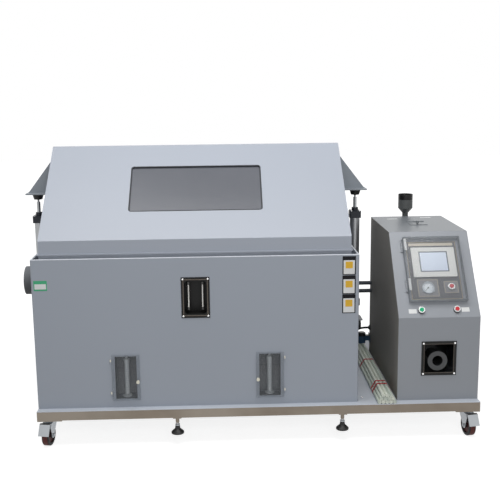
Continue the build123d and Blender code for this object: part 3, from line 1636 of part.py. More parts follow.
# Water hose from the tank to the console
hose_bend = 120
hose_z = (deck_top + hose_tank_height, deck_top + hose_console_height)
hose_y = (tank_front + hose_back, tank_front + hose_console_back)
with BuildPart() as water_hose:
    with BuildLine() as hose_path:
        FilletPolyline(
            (tank_right - tank_wall, hose_y[0], hose_z[0]),
            (tank_right + 36, hose_y[0], hose_z[0]),
            (tank_right + 122, hose_y[1], hose_z[1]),
            (console_left + 8, hose_y[1], hose_z[1]),
            radius=hose_bend,
        )
    with BuildSketch(hose_path.line ^ 0):
        Circle(hose_radius)
    sweep(path=hose_path.line)
water_hose.part.label = "water_hose"
export_step(water_hose.part, "parts/water_hose.step")

# Service fittings: hose grommets, drain, union, cable gland, air inlet and water inlet
union_length = 106
drain_reach = 30
drain_collar = 8
with BuildPart() as service_fittings:
    for wall_x, side, place_y, place_z in (
        (tank_right, 1, hose_y[0], hose_z[0]),
        (console_left, -1, hose_y[1], hose_z[1]),
    ):
        rod_along("X", (wall_x, place_y, place_z), grommet_radius, 2 * tank_wall)
        rod_along("X", (wall_x + side * 2, place_y, place_z), grommet_radius + 4, 4)
        bore = hose_radius + running_fit
        rod_along("X", (wall_x, place_y, place_z), bore, 4 * tank_wall, Mode.SUBTRACT)
    union_y = tank_front + union_back
    union_z = deck_top + union_height
    spigot_end = inner_x[1] - inner_wall
    rod_along("X", (tank_right + union_length / 2, union_y, union_z), union_radius, union_length)
    spigot_middle = ((spigot_end + tank_right) / 2, union_y, union_z)
    rod_along("X", spigot_middle, spigot_radius, tank_right - spigot_end)
    rod_along("X", (tank_right, union_y, union_z), spigot_radius - 3, 3 * union_length, Mode.SUBTRACT)
    with BuildLine() as drain_path:
        FilletPolyline(
            (drain_x, tank_back + drain_reach, deck_top + drain_height),
            (drain_x, tank_back - drain_inset, deck_top + drain_height),
            (drain_x, tank_back - drain_inset, inner_floor - inner_wall),
            radius=25,
        )
    with BuildSketch(drain_path.line ^ 0):
        Circle(drain_radius)
        Circle(drain_radius - drain_wall, mode=Mode.SUBTRACT)
    sweep(path=drain_path.line)
    collar_place = (drain_x, tank_back + drain_collar / 2, deck_top + drain_height)
    rod_along("Y", collar_place, drain_radius + 6, drain_collar)
    rod_along("Y", collar_place, drain_radius - drain_wall, 3 * drain_collar, Mode.SUBTRACT)
    for (x, z), outer, bore in ((gland_place, 11, 5), (air_place, 11, 3), (water_place, 11, 3)):
        outside = console_back + sheet
        rod_along("Y", (x, outside + 5, z), outer, 10)
        rod_along("Y", (x, outside + 12, z), fitting_radius - 2, 24)
        rod_along("Y", (x, outside - 5, z), fitting_radius, 14)
        rod_along("Y", (x, outside, z), bore, 80, Mode.SUBTRACT)
service_fittings.part.label = "service_fittings"
export_step(service_fittings.part, "parts/service_fittings.step")

# Water pump on a bracket at the console's side
pump_radius = 20
pump_height = 50
pump_low = deck_top + 48
pump_x = console_left - 40
pump_y = tank_front + 700
with BuildPart() as water_pump:
    rod_along("Z", (pump_x, pump_y, pump_low + pump_height / 2), pump_radius, pump_height)
    rod_along("Z", (pump_x, pump_y, pump_low + pump_height + 2), pump_radius - 5, 4)
    block(
        (pump_x, console_left),
        centred(pump_y, 22),
        (pump_low + 12, pump_low + 38),
    )
    block(
        (console_left - 3, console_left),
        centred(pump_y, 44),
        (pump_low + 4, pump_low + 46),
    )
    rod_along("X", (pump_x - pump_radius - 5, pump_y, pump_low + 14), 4.5, 16)
water_pump.part.label = "water_pump"
export_step(water_pump.part, "parts/water_pump.step")

# Specimen support rods, in a tied heap on the deck
support_radius = 8
support_rows = (5, 4, 3)
support_pitch = 2 * support_radius + 0.3
support_y = (tank_front - 32, tank_front + 775)
support_x = tank_right + 121
with BuildPart() as rod_bundle:
    for row, count in enumerate(support_rows):
        for number in range(count):
            x = support_x + (number - (count - 1) / 2) * support_pitch
            z = deck_top + support_radius + row * support_pitch * cos(pi / 6)
            rod_along("Y", (x, sum(support_y) / 2, z), support_radius, support_y[1] - support_y[0])
rod_bundle.part.label = "rod_bundle"
export_step(rod_bundle.part, "parts/rod_bundle.step")
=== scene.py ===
# %% [markdown]
# # A salt-spray test chamber, dressed in Blender
# The CAD model arrives as separate parts in metres, and each one stays exactly where it is.
# What is left for Blender is what CAD doesn't hold: the finishes, the small fasteners, the
# labels and screens, the light and the camera. Keeping the two apart means that the shapes
# can be trusted, and that every look can be changed without touching a dimension.

# %% Load the CAD parts
import math

import bmesh
import bpy
from mathutils import Matrix, Vector


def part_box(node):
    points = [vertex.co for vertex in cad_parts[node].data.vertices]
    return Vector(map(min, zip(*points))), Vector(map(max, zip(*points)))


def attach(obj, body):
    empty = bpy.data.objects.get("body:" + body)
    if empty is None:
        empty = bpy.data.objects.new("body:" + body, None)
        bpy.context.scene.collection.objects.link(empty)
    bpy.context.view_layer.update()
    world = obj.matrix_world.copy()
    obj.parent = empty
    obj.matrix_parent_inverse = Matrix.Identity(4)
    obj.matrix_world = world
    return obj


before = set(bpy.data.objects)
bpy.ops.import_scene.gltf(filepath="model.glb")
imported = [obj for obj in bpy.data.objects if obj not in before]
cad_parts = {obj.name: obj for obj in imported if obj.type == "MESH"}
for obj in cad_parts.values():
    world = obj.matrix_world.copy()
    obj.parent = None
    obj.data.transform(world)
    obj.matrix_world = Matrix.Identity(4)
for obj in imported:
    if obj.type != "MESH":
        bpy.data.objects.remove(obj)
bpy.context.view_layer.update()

mm = 0.001

# %% [markdown]
# ## Camera
# The chamber was photographed from the front, a little above its lid, with a fairly long
# lens. A camera could be aimed by eye, but then nothing can be compared with the photograph.
# Here it stands where straight edges of the machine line up with those in the picture: a
# place, a lens, and three small turns called yaw, pitch and roll. The three directions that
# they give become the columns of the camera's rotation matrix.

# %% Camera
camera_place = Vector((-0.09305, -3.90604, 1.49271))
yaw, pitch, roll = 0.0318, -0.1856, -0.0114
forward = Vector((math.sin(yaw) * math.cos(pitch), math.cos(yaw) * math.cos(pitch), math.sin(pitch)))
level_right = forward.cross(Vector((0, 0, 1))).normalized()
level_up = level_right.cross(forward)
camera_right = math.cos(roll) * level_right + math.sin(roll) * level_up
camera_up = camera_right.cross(forward)

camera_data = bpy.data.cameras.new("camera")
camera_data.sensor_fit = "HORIZONTAL"
camera_data.sensor_width = 36
camera_data.lens = 61.114
camera_data.clip_end = 60
camera = bpy.data.objects.new("camera", camera_data)
camera.matrix_world = Matrix((camera_right, camera_up, -forward)).transposed().to_4x4()
camera.location = camera_place
bpy.context.scene.collection.objects.link(camera)
bpy.context.scene.camera = camera
bpy.context.scene.view_settings.view_transform = "Standard"
print("camera height in metres:", round(camera_place.z, 2))

# %% [markdown]
# ## A way to write shaders
# A finish is a small formula, and a formula is easier to read as text than as a web of
# nodes. One class wraps a socket: plus, minus and times on it add Math nodes, and every
# other node comes from its `node` method, which first sets how the node works and then
# fills its sockets. Colours are mixed by `between`, because Math nodes turn a colour grey.

# %% Shader fields


class Field:
    """An output socket in a node tree. Arithmetic on it adds Math nodes."""

    def __init__(self, tree, socket=None):
        self.tree = tree
        self.socket = socket

    def node(self, kind, settings=None, sockets=None, out=0):
        """Adds a node, sets its settings, then its sockets, and gives back one output."""
        made = self.tree.nodes.new(kind)
        for name, value in (settings or {}).items():
            setattr(made, name, value)
        for name, value in (sockets or {}).items():
            if isinstance(value, Field):
                self.tree.links.new(value.socket, made.inputs[name])
            else:
                made.inputs[name].default_value = value
        return Field(self.tree, made.outputs[out]) if made.outputs else Field(self.tree)

    def maths(self, operation, first, second=0.0):
        return self.node("ShaderNodeMath", {"operation": operation}, {0: first, 1: second})

    def __add__(self, other):
        return self.maths("ADD", self, other)

    def __radd__(self, other):
        return self.maths("ADD", other, self)

    def __sub__(self, other):
        return self.maths("SUBTRACT", self, other)

    def __rsub__(self, other):
        return self.maths("SUBTRACT", other, self)

    def __mul__(self, other):
        return self.maths("MULTIPLY", self, other)

    def __rmul__(self, other):
        return self.maths("MULTIPLY", other, self)

    def over(self, limit):
        """1 where the field is above the limit, and 0 elsewhere."""
        return self.maths("GREATER_THAN", self, limit)

    def under(self, limit):
        """1 where the field is below the limit, and 0 elsewhere."""
        return self.maths("LESS_THAN", self, limit)

    def size(self):
        """The field without its sign."""
        return self.maths("ABSOLUTE", self)

    def most(self, other):
        """The larger of two fields."""
        return self.maths("MAXIMUM", self, other)

    def either(self, other):
        """The sum of two masks, held between 0 and 1."""
        return self.node("ShaderNodeMath", {"operation": "ADD", "use_clamp": True}, {0: self, 1: other})

    def between(self, low, high):
        """A colour: low where the field is 0, high where it is 1."""
        return self.node("ShaderNodeMix", {"data_type": "RGBA"}, {0: self, 6: low, 7: high}, out=2)

    def step(self, low, high):
        """0 below low, 1 above high, and a straight ramp between them."""
        return self.node("ShaderNodeMapRange", {}, {0: self, 1: low, 2: high, 3: 0.0, 4: 1.0})


# %% [markdown]
# ## Patterns that finishes share
# Nothing made of painted sheet or drawn steel has one even colour. Three patterns cover most
# of it: a slow cloud for the drift of a coat's colour, a fine grain for its relief, and a
# distance along a direction, which lets a finish change at a place, such as the black caps
# on a bright cylinder. All of them use object coordinates. The parts sit at the origin, so
# those are the machine's own metres, and no unwrapping is needed.

# %% Patterns


def grey(level):
    """A linear grey."""
    return (level, level, level, 1.0)


def cloud(start, scale, stretch=(1, 1, 1), detail=2.0):
    """Soft noise from 0 to 1, about 1 / scale metres from one patch to the next."""
    spot = start.node("ShaderNodeTexCoord", out="Object")
    drawn = start.node("ShaderNodeVectorMath", {"operation": "MULTIPLY"}, {0: spot, 1: stretch})
    return start.node("ShaderNodeTexNoise", {}, {"Vector": drawn, "Scale": scale, "Detail": detail})


def along(start, direction, origin=(0, 0, 0)):
    """How many metres a point lies from an origin, measured along a direction."""
    spot = start.node("ShaderNodeTexCoord", out="Object")
    away = start.node("ShaderNodeVectorMath", {"operation": "SUBTRACT"}, {0: spot, 1: origin})
    settings = {"operation": "DOT_PRODUCT"}
    return start.node("ShaderNodeVectorMath", settings, {0: away, 1: direction}, out="Value")


def shaded(start, tone, shade):
    """A colour darkened or lightened by another."""
    settings = {"data_type": "RGBA", "blend_type": "MULTIPLY"}
    return start.node("ShaderNodeMix", settings, {0: 1.0, 6: tone, 7: shade}, out=2)


def coat(start, tone, rough, drift=0.05, patch=2.5, grain=260, relief=0.05, stretch=(1, 1, 1)):
    """The sockets of a solid finish: drifting colour, uneven gloss and a fine relief."""
    slow = cloud(start, patch)
    fine = cloud(start, grain, stretch)
    return {
        "Base Color": shaded(start, tone, slow.between(grey(1 - drift), grey(1 + drift))),
        "Roughness": rough + 0.12 * (fine - 0.5) + 0.1 * (slow - 0.5),
        "Normal": start.node(
            "ShaderNodeBump", {}, {"Strength": relief, "Distance": 0.001, "Height": fine}, out="Normal"
        ),
    }


finishes = {}


def finish(name, look, even=None):
    """Makes a material. look(start) gives sockets that vary, and even those that don't."""
    made = bpy.data.materials.new(name)
    made.use_nodes = True
    made.node_tree.nodes.clear()
    start = Field(made.node_tree)
    sockets = look(start)
    sockets.update(even or {})
    shader = start.node("ShaderNodeBsdfPrincipled", {}, sockets)
    start.node("ShaderNodeOutputMaterial", {}, {"Surface": shader})
    finishes[name] = made
    print("finish", name, "has", len(made.node_tree.nodes), "nodes")
    return made


# %% [markdown]
# ## Studio
# The photograph has a white ground with hardly a shadow, and soft light from above and from
# the front. White could be reached with strong lamps, but they would bleach the grey paint.
# So the lamps stay weak, and the world is white only for rays that look at it: those from
# the camera, and those that a glossy or a clear surface sends on. Light that falls on the
# machine sees a dim grey room instead.

# %% World
world = bpy.data.worlds.new("studio_room")
world.use_nodes = True
world.node_tree.nodes.clear()
bpy.context.scene.world = world
room = Field(world.node_tree)
seen_by_camera = room.node("ShaderNodeLightPath", out="Is Camera Ray")
seen_in_gloss = room.node("ShaderNodeLightPath", out="Is Glossy Ray")
seen_through = room.node("ShaderNodeLightPath", out="Is Transmission Ray")
room_light = 0.22
looked_at = (seen_by_camera + seen_in_gloss).either(seen_through)
backdrop = room.node(
    "ShaderNodeBackground", {}, {"Color": looked_at.between(grey(room_light), grey(1.0)), "Strength": 1.0}
)
room.node("ShaderNodeOutputWorld", {}, {"Surface": backdrop})
print("room light:", room_light)

# %% [markdown]
# The lamps are two softboxes. The long one hangs over the lid, where the sloping sheet
# mirrors it towards the camera, and that is what makes the slope so much paler than the
# front, although both have the same paint. The other stands in front and fills the fronts.

# %% Lamps


def softbox(name, place, aim, width, height, power):
    """A rectangular lamp that faces a point."""
    data = bpy.data.lights.new(name, "AREA")
    data.shape = "RECTANGLE"
    data.size = width
    data.size_y = height
    data.energy = power
    lamp = bpy.data.objects.new(name, data)
    lamp.location = place
    lamp.rotation_euler = (Vector(aim) - Vector(place)).to_track_quat("-Z", "Y").to_euler()
    lamp.visible_camera = False
    bpy.context.scene.collection.objects.link(lamp)
    print(name, "gives", power, "watts")


softbox("lamp_over", (-0.1, -0.95, 3.6), (0.0, -0.1, 0.8), width=3.4, height=1.5, power=80)
softbox("lamp_front", (0.3, -5.2, 2.6), (0.0, 0.0, 0.6), width=3.0, height=2.0, power=69)

# %% [markdown]
# The floor is one wide flat sheet. A sheet that curves up behind the machine, as a paper roll
# does, would stand in front of a camera that looks from the back. It glows a little for the
# rays that look at it, and more with the distance from the machine, so it runs into the white
# of the room without an edge, while the soft shadow under the machine stays.

# %% Floor
floor_reach = 14.0
floor_mesh = bpy.data.meshes.new("floor")
paper = bmesh.new()
corner_signs = ((-1, -1), (1, -1), (1, 1), (-1, 1))
paper.faces.new([paper.verts.new((u * floor_reach, v * floor_reach, 0)) for u, v in corner_signs])
paper.to_mesh(floor_mesh)
paper.free()
floor = bpy.data.objects.new("floor", floor_mesh)
bpy.context.scene.collection.objects.link(floor)

near_glow = 0.82
far_glow = 1.0


def floor_look(start):
    looked = start.node("ShaderNodeLightPath", out="Is Camera Ray")
    mirrored = start.node("ShaderNodeLightPath", out="Is Glossy Ray")
    through = start.node("ShaderNodeLightPath", out="Is Transmission Ray")
    spot = start.node("ShaderNodeTexCoord", out="Object")
    away = start.node("ShaderNodeVectorMath", {"operation": "LENGTH"}, {0: spot}, out="Value")
    glow = near_glow + (far_glow - near_glow) * away.step(1.3, 3.2)
    seen = looked + mirrored + through
    return {
        "Base Color": cloud(start, 0.7).between(grey(0.52), grey(0.56)),
        "Emission Color": (glow * seen).between(grey(0.0), grey(1.0)),
        "Roughness": 0.85 + 0.05 * cloud(start, 30),
    }


floor.data.materials.append(
    finish("studio_paper", floor_look, {"Emission Strength": 1.0, "Specular IOR Level": 0.0})
)
print("floor glow, near and far:", near_glow, far_glow)

# %% [markdown]
# ## Places on the machine
# A label or a screw lies on a flat face, so each face that carries any gets a small frame
# of its own: across, up and outwards. A piece is then drawn flat, in millimetres, and the
# frame puts it on the slope, the front or the back. The frames start from the corners of
# the CAD parts, so a piece can't float off the face that carries it.

# %% Flat faces


def flat(origin, across, upward):
    """A frame on a face. Its columns are across, up, outwards, and the origin."""
    u = Vector(across).normalized()
    v = Vector(upward).normalized()
    n = u.cross(v)
    made = Matrix((u, v, n)).transposed().to_4x4()
    made.translation = origin
    return made


tank_low, tank_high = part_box("tank_shell")
deck_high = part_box("deck_plate")[1]
rear_low, rear_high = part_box("console_rear_cover")
cover_margin = 1 * mm
console_setback = 5 * mm
console_front_height = 365 * mm
console_left = rear_low.x - cover_margin
console_right = rear_high.x + cover_margin
console_front = tank_low.y + console_setback
console_top = rear_high.z + cover_margin
slope_start = deck_high.z + console_front_height
slope_rise = console_top - slope_start
slope_run = 250 * mm
console_turn = math.atan2(slope_rise, slope_run)
tank_middle_x = (tank_low.x + tank_high.x) / 2
tank_middle_y = (tank_low.y + tank_high.y) / 2
lid_skirt_top = 71 * mm
lid_inset = 30 * mm
lid_rise = 358 * mm
ridge_flat = 30 * mm
lid_fold = tank_high.z + lid_skirt_top
lid_front = tank_low.y + lid_inset
lid_run = tank_middle_y - ridge_flat / 2 - lid_front
lid_turn = math.atan2(lid_rise, lid_run)

tank_face = flat((tank_low.x, tank_low.y, deck_high.z), (1, 0, 0), (0, 0, 1))
lid_face = flat((tank_middle_x, lid_front, lid_fold), (1, 0, 0), (0, math.cos(lid_turn), math.sin(lid_turn)))
console_face = flat((console_left, console_front, deck_high.z), (1, 0, 0), (0, 0, 1))
slope_across = (0, math.cos(console_turn), math.sin(console_turn))
slope_out = (0, -math.sin(console_turn), math.cos(console_turn))
slope_face = flat((console_left, console_front, slope_start), (1, 0, 0), slope_across)
top_face = flat((console_left, console_front, console_top), (1, 0, 0), (0, 1, 0))
deck_face = flat((tank_low.x, tank_low.y, deck_high.z), (1, 0, 0), (0, 1, 0))
print("slopes in degrees:", round(math.degrees(lid_turn), 1), round(math.degrees(console_turn), 1))

# %% [markdown]
# ## Drawing small pieces
# Most small pieces are either cut from sheet or turned on a lathe. So there are two ways to
# draw them, and both lay rings of points one above the other and join them with faces. A
# Cube or Cylinder would be quicker, but real edges are broken, and it is the thin bright
# line on a broken edge that makes a small part look real.

# %% Rings of points


def outline(width, height, corner, steps=5):
    """Points round a rectangle with rounded corners."""
    points = []
    for turn, (side_u, side_v) in enumerate(((1, 1), (-1, 1), (-1, -1), (1, -1))):
        for number in range(steps + 1):
            angle = math.pi / 2 * (turn + number / steps)
            u = side_u * (width / 2 - corner) + corner * math.cos(angle)
            v = side_v * (height / 2 - corner) + corner * math.sin(angle)
            points.append((u, v))
    return points


def skin(shape, rings, loop=False):
    """Joins rings of points into a closed skin: capped at its ends, or round in a loop."""
    rows = [[shape.verts.new(point) for point in ring] for ring in rings]
    pairs = list(zip(rows, rows[1:]))
    if loop:
        pairs.append((rows[-1], rows[0]))
    for low, high in pairs:
        for number in range(len(low)):
            after = (number + 1) % len(low)
            shape.faces.new((low[number], low[after], high[after], high[number]))
    if not loop:
        shape.faces.new(list(reversed(rows[0])))
        shape.faces.new(rows[-1])


def raised(face, middle, points, height):
    """Flat points in millimetres, moved to a middle and a height on a face."""
    return [face @ Vector(((middle[0] + u) * mm, (middle[1] + v) * mm, height * mm)) for u, v in points]


def plate(shape, face, middle, size, thick, corner=2.0, lift=0.0, edge=0.25):
    """A sheet with rounded corners and a broken upper edge."""
    width, height = size
    full = outline(width, height, corner)
    small = outline(width - 2 * edge, height - 2 * edge, max(corner - edge, 0.05))
    rings = [(full, lift), (full, lift + thick - edge), (small, lift + thick)]
    skin(shape, [raised(face, middle, points, height_up) for points, height_up in rings])


def border(shape, face, middle, size, band, thick, corner=2.0, lift=0.0, edge=0.2):
    """A narrow band round a rectangle."""
    width, height = size
    rings = []
    outer = [(0, 0), (0, thick - edge), (edge, thick)]
    inner = [(band - edge, thick), (band, thick - edge), (band, 0)]
    for inset, up in outer + inner:
        points = outline(width - 2 * inset, height - 2 * inset, max(corner - inset, 0.1))
        rings.append(raised(face, middle, points, lift + up))
    skin(shape, rings, loop=True)


def turned(shape, face, middle, profile, sides=24):
    """A lathe part: a profile of (radius, height), with a third word for a hexagon or a cross."""
    rings = []
    for radius, up, *form in profile:
        points = []
        for number in range(sides):
            angle = 2 * math.pi * number / sides
            reach = radius
            if "hexagon" in form:
                reach = radius / math.cos((angle + math.pi / 6) % (math.pi / 3) - math.pi / 6)
            if "cross" in form:
                reach = radius * (0.35 + 0.65 * abs(math.cos(2 * angle)) ** 2)
            points.append((reach * math.cos(angle), reach * math.sin(angle)))
        rings.append(raised(face, middle, points, up))
    skin(shape, rings)


# %% [markdown]
# Three kinds of heads hold this machine together, and each is a lathe profile. A cross or a
# hexagon is no separate cut: the ring of points at that height is simply pulled into shape.

# %% Screws and bolts


def screw(shape, face, middle, radius=3.5, lift=0.0):
    """A pan head with a cross recess."""
    profile = [
        (radius, lift),
        (radius, lift + 0.35 * radius),
        (radius * 0.85, lift + 0.55 * radius),
        (radius * 0.6, lift + 0.65 * radius),
        (radius * 0.5, lift + 0.66 * radius, "cross"),
        (radius * 0.35, lift + 0.3 * radius, "cross"),
    ]
    turned(shape, face, middle, profile)


def bolt(shape, face, middle, radius=5.0, lift=0.0):
    """A hexagon head on a washer."""
    washer = [(radius * 1.45, lift), (radius * 1.45, lift + 1.0), (radius * 1.35, lift + 1.3)]
    turned(shape, face, middle, washer)
    low = lift + 1.3
    head = [
        (radius * 0.95, low, "hexagon"),
        (radius, low + 0.4, "hexagon"),
        (radius, low + radius * 0.6, "hexagon"),
        (radius * 0.9, low + radius * 0.72),
        (radius * 0.5, low + radius * 0.74),
    ]
    turned(shape, face, middle, head)


def socket_bolt(shape, face, middle, radius=4.0, lift=0.0):
    """A round head with a hexagon socket."""
    profile = [
        (radius, lift),
        (radius, lift + radius * 0.85),
        (radius * 0.9, lift + radius),
        (radius * 0.6, lift + radius),
        (radius * 0.5, lift + radius, "hexagon"),
        (radius * 0.5, lift + radius * 0.4, "hexagon"),
    ]
    turned(shape, face, middle, profile)


# %% [markdown]
# Each piece becomes one Blender object. It rides on the CAD body that it is fixed to, so it
# turns with a door or rises with the lid. Faces that meet at a small angle are shaded smooth,
# and sharper edges stay sharp, as on a part from a lathe.

# %% Making a piece


def new_piece(name, draw, look, body):
    """Draws a piece with a function, and fixes it to a CAD body."""
    shape = bmesh.new()
    draw(shape)
    bmesh.ops.recalc_face_normals(shape, faces=shape.faces)
    for face in shape.faces:
        face.smooth = True
    for edge in shape.edges:
        edge.smooth = edge.calc_face_angle(0) < math.radians(35)
    mesh = bpy.data.meshes.new(name)
    shape.to_mesh(mesh)
    shape.free()
    made = bpy.data.objects.new(name, mesh)
    bpy.context.scene.collection.objects.link(made)
    mesh.materials.append(look)
    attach(made, body)
    print(name, "has", len(mesh.polygons), "faces")
    return made


def wear(node, look):
    """Gives a CAD part a finish in place of its plain colour."""
    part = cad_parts[node]
    part.data.materials.clear()
    part.data.materials.append(look)
    print(node, "wears", look.name)


# %% [markdown]
# ## Grey paint
# Tank, lid and console have a satin sprayed coat, which dries with a faint texture like the
# skin of an orange. A fine bump gives that. The tank's rim has a painted highlight, a pale line
# along its top, and the tank's inside is painted pale, partly to lift the shade in the seal
# groove. The console's top and its sides are painted darker as painted shade, and the sides are
# also brownish as a painted reflection. The rim and the console get these from masks of a place,
# so one material covers the whole part. The deck is painted too, but people stand things on it,
# so it is duller, with scuffs drawn out along its length.

# %% Paint
tank_tone = (0.335, 0.367, 0.422, 1.0)
lid_tone = (0.366, 0.398, 0.458, 1.0)
console_tone = (0.290, 0.308, 0.338, 1.0)
# A pale grey for painted highlights: the rim's top line, and the tank's inside, lightened against the
# groove's shade.
painted_highlight_tone = (0.62, 0.65, 0.70, 1.0)
# The console's sides: painted shade, with a brownish painted reflection.
side_shade_tone = (0.205, 0.196, 0.180, 1.0)
# The console's top: painted shade, a darker grey.
console_top_shade_tone = (0.190, 0.206, 0.224, 1.0)
paint_gloss = {"Specular IOR Level": 0.5}


def sprayed(start, tone, rough=0.36):
    """The sockets of a sprayed coat."""
    return coat(start, tone, rough, drift=0.035, patch=1.6, grain=420, relief=0.035)


def paint(tone, rough=0.36):
    return lambda start: sprayed(start, tone, rough)


def tank_look(start):
    # The top 2.5 mm of the rim is painted pale: a painted highlight where its edge catches the light.
    rim_highlight = along(start, (0, 0, 1), (0, 0, tank_high.z)).over(-2.5 * mm)
    return sprayed(start, rim_highlight.between(tank_tone, painted_highlight_tone))


def console_look(start):
    middle_x = (console_left + console_right) / 2
    side_start = (console_right - console_left) / 2 - 0.6 * mm
    # Both side panels are painted darker and brownish: painted shade and a painted reflection.
    side = along(start, (1, 0, 0), (middle_x, 0, 0)).size().over(side_start)
    # The top sheet is painted darker: painted shade.
    top = along(start, (0, 0, 1), (0, 0, console_top)).over(-0.6 * mm)
    tone = top.between(side.between(console_tone, side_shade_tone), console_top_shade_tone)
    return sprayed(start, tone, 0.36 + 0.36 * side)


tank_paint = finish("tank_paint", tank_look, paint_gloss)
lid_paint = finish("lid_paint", paint(lid_tone), paint_gloss)
# The tank's inside is painted pale, partly as painted light that lifts the shade in the seal groove.
inner_lightened_paint = finish("inner_tank_lightened_sheet", paint(painted_highlight_tone, 0.42), paint_gloss)
console_paint = finish("console_paint", console_look, paint_gloss)
hatch_paint = finish("hatch_paint", paint((0.20, 0.215, 0.23, 1.0)), paint_gloss)


def deck_look(start):
    scuffs = cloud(start, 14, (0.15, 1.0, 1.0), 4.0)
    return coat(start, scuffs.between((0.40, 0.43, 0.48, 1), (0.58, 0.62, 0.68, 1)), 0.42)


deck_paint = finish("deck_paint", deck_look)
wear("tank_shell", tank_paint)
wear("inner_tank", inner_lightened_paint)
for node in ("console_cabinet", "console_rear_cover"):
    wear(node, console_paint)
wear("hatch_lid", hatch_paint)
wear("lid_shell", lid_paint)
wear("deck_plate", deck_paint)

# %% [markdown]
# The wings on the lid's ends have the lid's paint, with black cups welded under them that
# take the cylinders' rods. One material does both: below the wing's underside it turns black.

# %% Wings
wing_underside = 858 * mm
wing_low = deck_high.z + wing_underside


def wing_look(start):
    cup = along(start, (0, 0, 1), (0, 0, wing_low)).under(-0.3 * mm)
    tone = cup.between((0.26, 0.285, 0.315, 1.0), grey(0.012))
    return coat(start, tone, 0.42, drift=0.05, patch=6)


wear("lid_wings", finish("wing_paint", wing_look, {"Specular IOR Level": 0.25}))

# %% [markdown]
# ## Bare metal
# The base frame is square stainless tube. Drawing and polishing leave fine lines along it,
# so its grain is a noise stretched a hundredfold along the tube, and handling leaves warm
# brownish patches. The hinges and screws are plain steel, the casters are zinc plated, which
# is brighter and faintly blue, and the cylinder's rod is hard chrome, almost a mirror.

# %% Metals


def drawn_steel(tone, rough, stretch, drift):
    return lambda start: coat(start, tone, rough, drift, patch=5, grain=900, relief=0.12, stretch=stretch)


def frame_look(start):
    stain = cloud(start, 3.5, (1, 1, 1), 3.0).step(0.35, 0.7)
    tone = stain.between((0.235, 0.205, 0.170, 1), (0.165, 0.135, 0.105, 1))
    return coat(start, tone, 0.4, drift=0.1, patch=9, grain=700, relief=0.12, stretch=(0.02, 1, 1))


frame_steel = finish("frame_steel", frame_look, {"Metallic": 0.75})
metals = {
    "hinge_steel": ((0.42, 0.43, 0.45, 1), 0.36, (1, 1, 0.05), 0.1, 0.9),
    "zinc_plate": ((0.40, 0.42, 0.44, 1), 0.34, (1, 1, 1), 0.2, 0.92),
    "screw_steel": ((0.66, 0.66, 0.66, 1), 0.24, (1, 1, 1), 0.1, 0.95),
    "hard_chrome": ((0.30, 0.31, 0.32, 1), 0.12, (1, 1, 0.02), 0.04, 1.0),
    "heater_steel": ((0.30, 0.28, 0.26, 1), 0.35, (0.05, 1, 1), 0.1, 0.9),
}
for name, (tone, rough, stretch, drift, metallic) in metals.items():
    finish(name, drawn_steel(tone, rough, stretch, drift), {"Metallic": metallic})
zinc_plate = finishes["zinc_plate"]
screw_steel = finishes["screw_steel"]
bracket_paint = finish("bracket_paint", paint((0.24, 0.255, 0.275, 1.0), 0.4))

wear("base_frame", frame_steel)
wear("heater_tubes", finishes["heater_steel"])
wear("cylinder_brackets", bracket_paint)
for node in ("hinge_tank_leaves", "hinge_lid_leaves"):
    wear(node, finishes["hinge_steel"])
for node in ("rod_left", "rod_right"):
    wear(node, finishes["hard_chrome"])
wear("caster_top_plates", zinc_plate)
corners = ("front_left", "front_right", "rear_left", "rear_right")
for corner in corners:
    wear(f"caster_fork_{corner}", zinc_plate)
for corner in corners[:2]:
    wear(f"brake_pedal_{corner}", zinc_plate)

# %% [markdown]
# The lift cylinders are an aluminium tube between two black square caps, held by the same
# part. Above and below the tube the finish changes from bare metal to black paint: a mask
# from the height sets the colour, and the same mask takes the metallic value down.

# %% Lift cylinders
pivot_height = 265 * mm
pivot_to_cap = 41 * mm
cap_length = 32 * mm
tube_length = 388 * mm
tube_low = deck_high.z + pivot_height + pivot_to_cap + cap_length
tube_high = tube_low + tube_length


def cylinder_look(start):
    height = along(start, (0, 0, 1))
    cap = height.under(tube_low) + height.over(tube_high)
    sockets = coat(start, cap.between((0.36, 0.37, 0.38, 1), (0.012, 0.015, 0.022, 1)), 0.38, grain=600)
    sockets["Metallic"] = 0.85 * (1 - cap)
    return sockets


cylinder_finish = finish("cylinder_tube_and_caps", cylinder_look, {"Specular IOR Level": 0.3})
for node in ("cylinder_left", "cylinder_right"):
    wear(node, cylinder_finish)

# %% [markdown]
# ## Wheels and feet
# The casters have dark red polyurethane treads with black shoulders. The wheel is turned a
# little about its fork, so "how far from its middle" has to be measured along its own axle:
# a dot product with the axle's direction does that at any angle.

# %% Wheels
caster_turns = {"front_left": -10, "front_right": 10, "rear_left": 205, "rear_right": 155}
for corner, turn in caster_turns.items():
    wheel_low, wheel_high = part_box(f"caster_wheel_{corner}")
    wheel_middle = (wheel_low + wheel_high) / 2
    axle = (math.cos(math.radians(turn)), math.sin(math.radians(turn)), 0)

    def wheel_look(start, axle=axle, wheel_middle=wheel_middle):
        shoulder = along(start, axle, wheel_middle).size().step(9.5 * mm, 11.5 * mm)
        dust = cloud(start, 60, (1, 1, 1), 4.0).step(0.45, 0.75)
        rubber = dust.between((0.075, 0.014, 0.012, 1), (0.12, 0.045, 0.038, 1))
        return coat(start, shoulder.between(rubber, (0.014, 0.013, 0.013, 1)), 0.55, grain=350, relief=0.1)

    wear(f"caster_wheel_{corner}", finish(f"wheel_tread_{corner}", wheel_look, {"Specular IOR Level": 0.25}))

# %% [markdown]
# A levelling foot is a black bell on a threaded stem. The thread is a sine of the height that
# feeds the bump, because a real helix this fine would cost thousands of faces.

# %% Feet
foot_bell_top = 83 * mm
thread_density = 4000


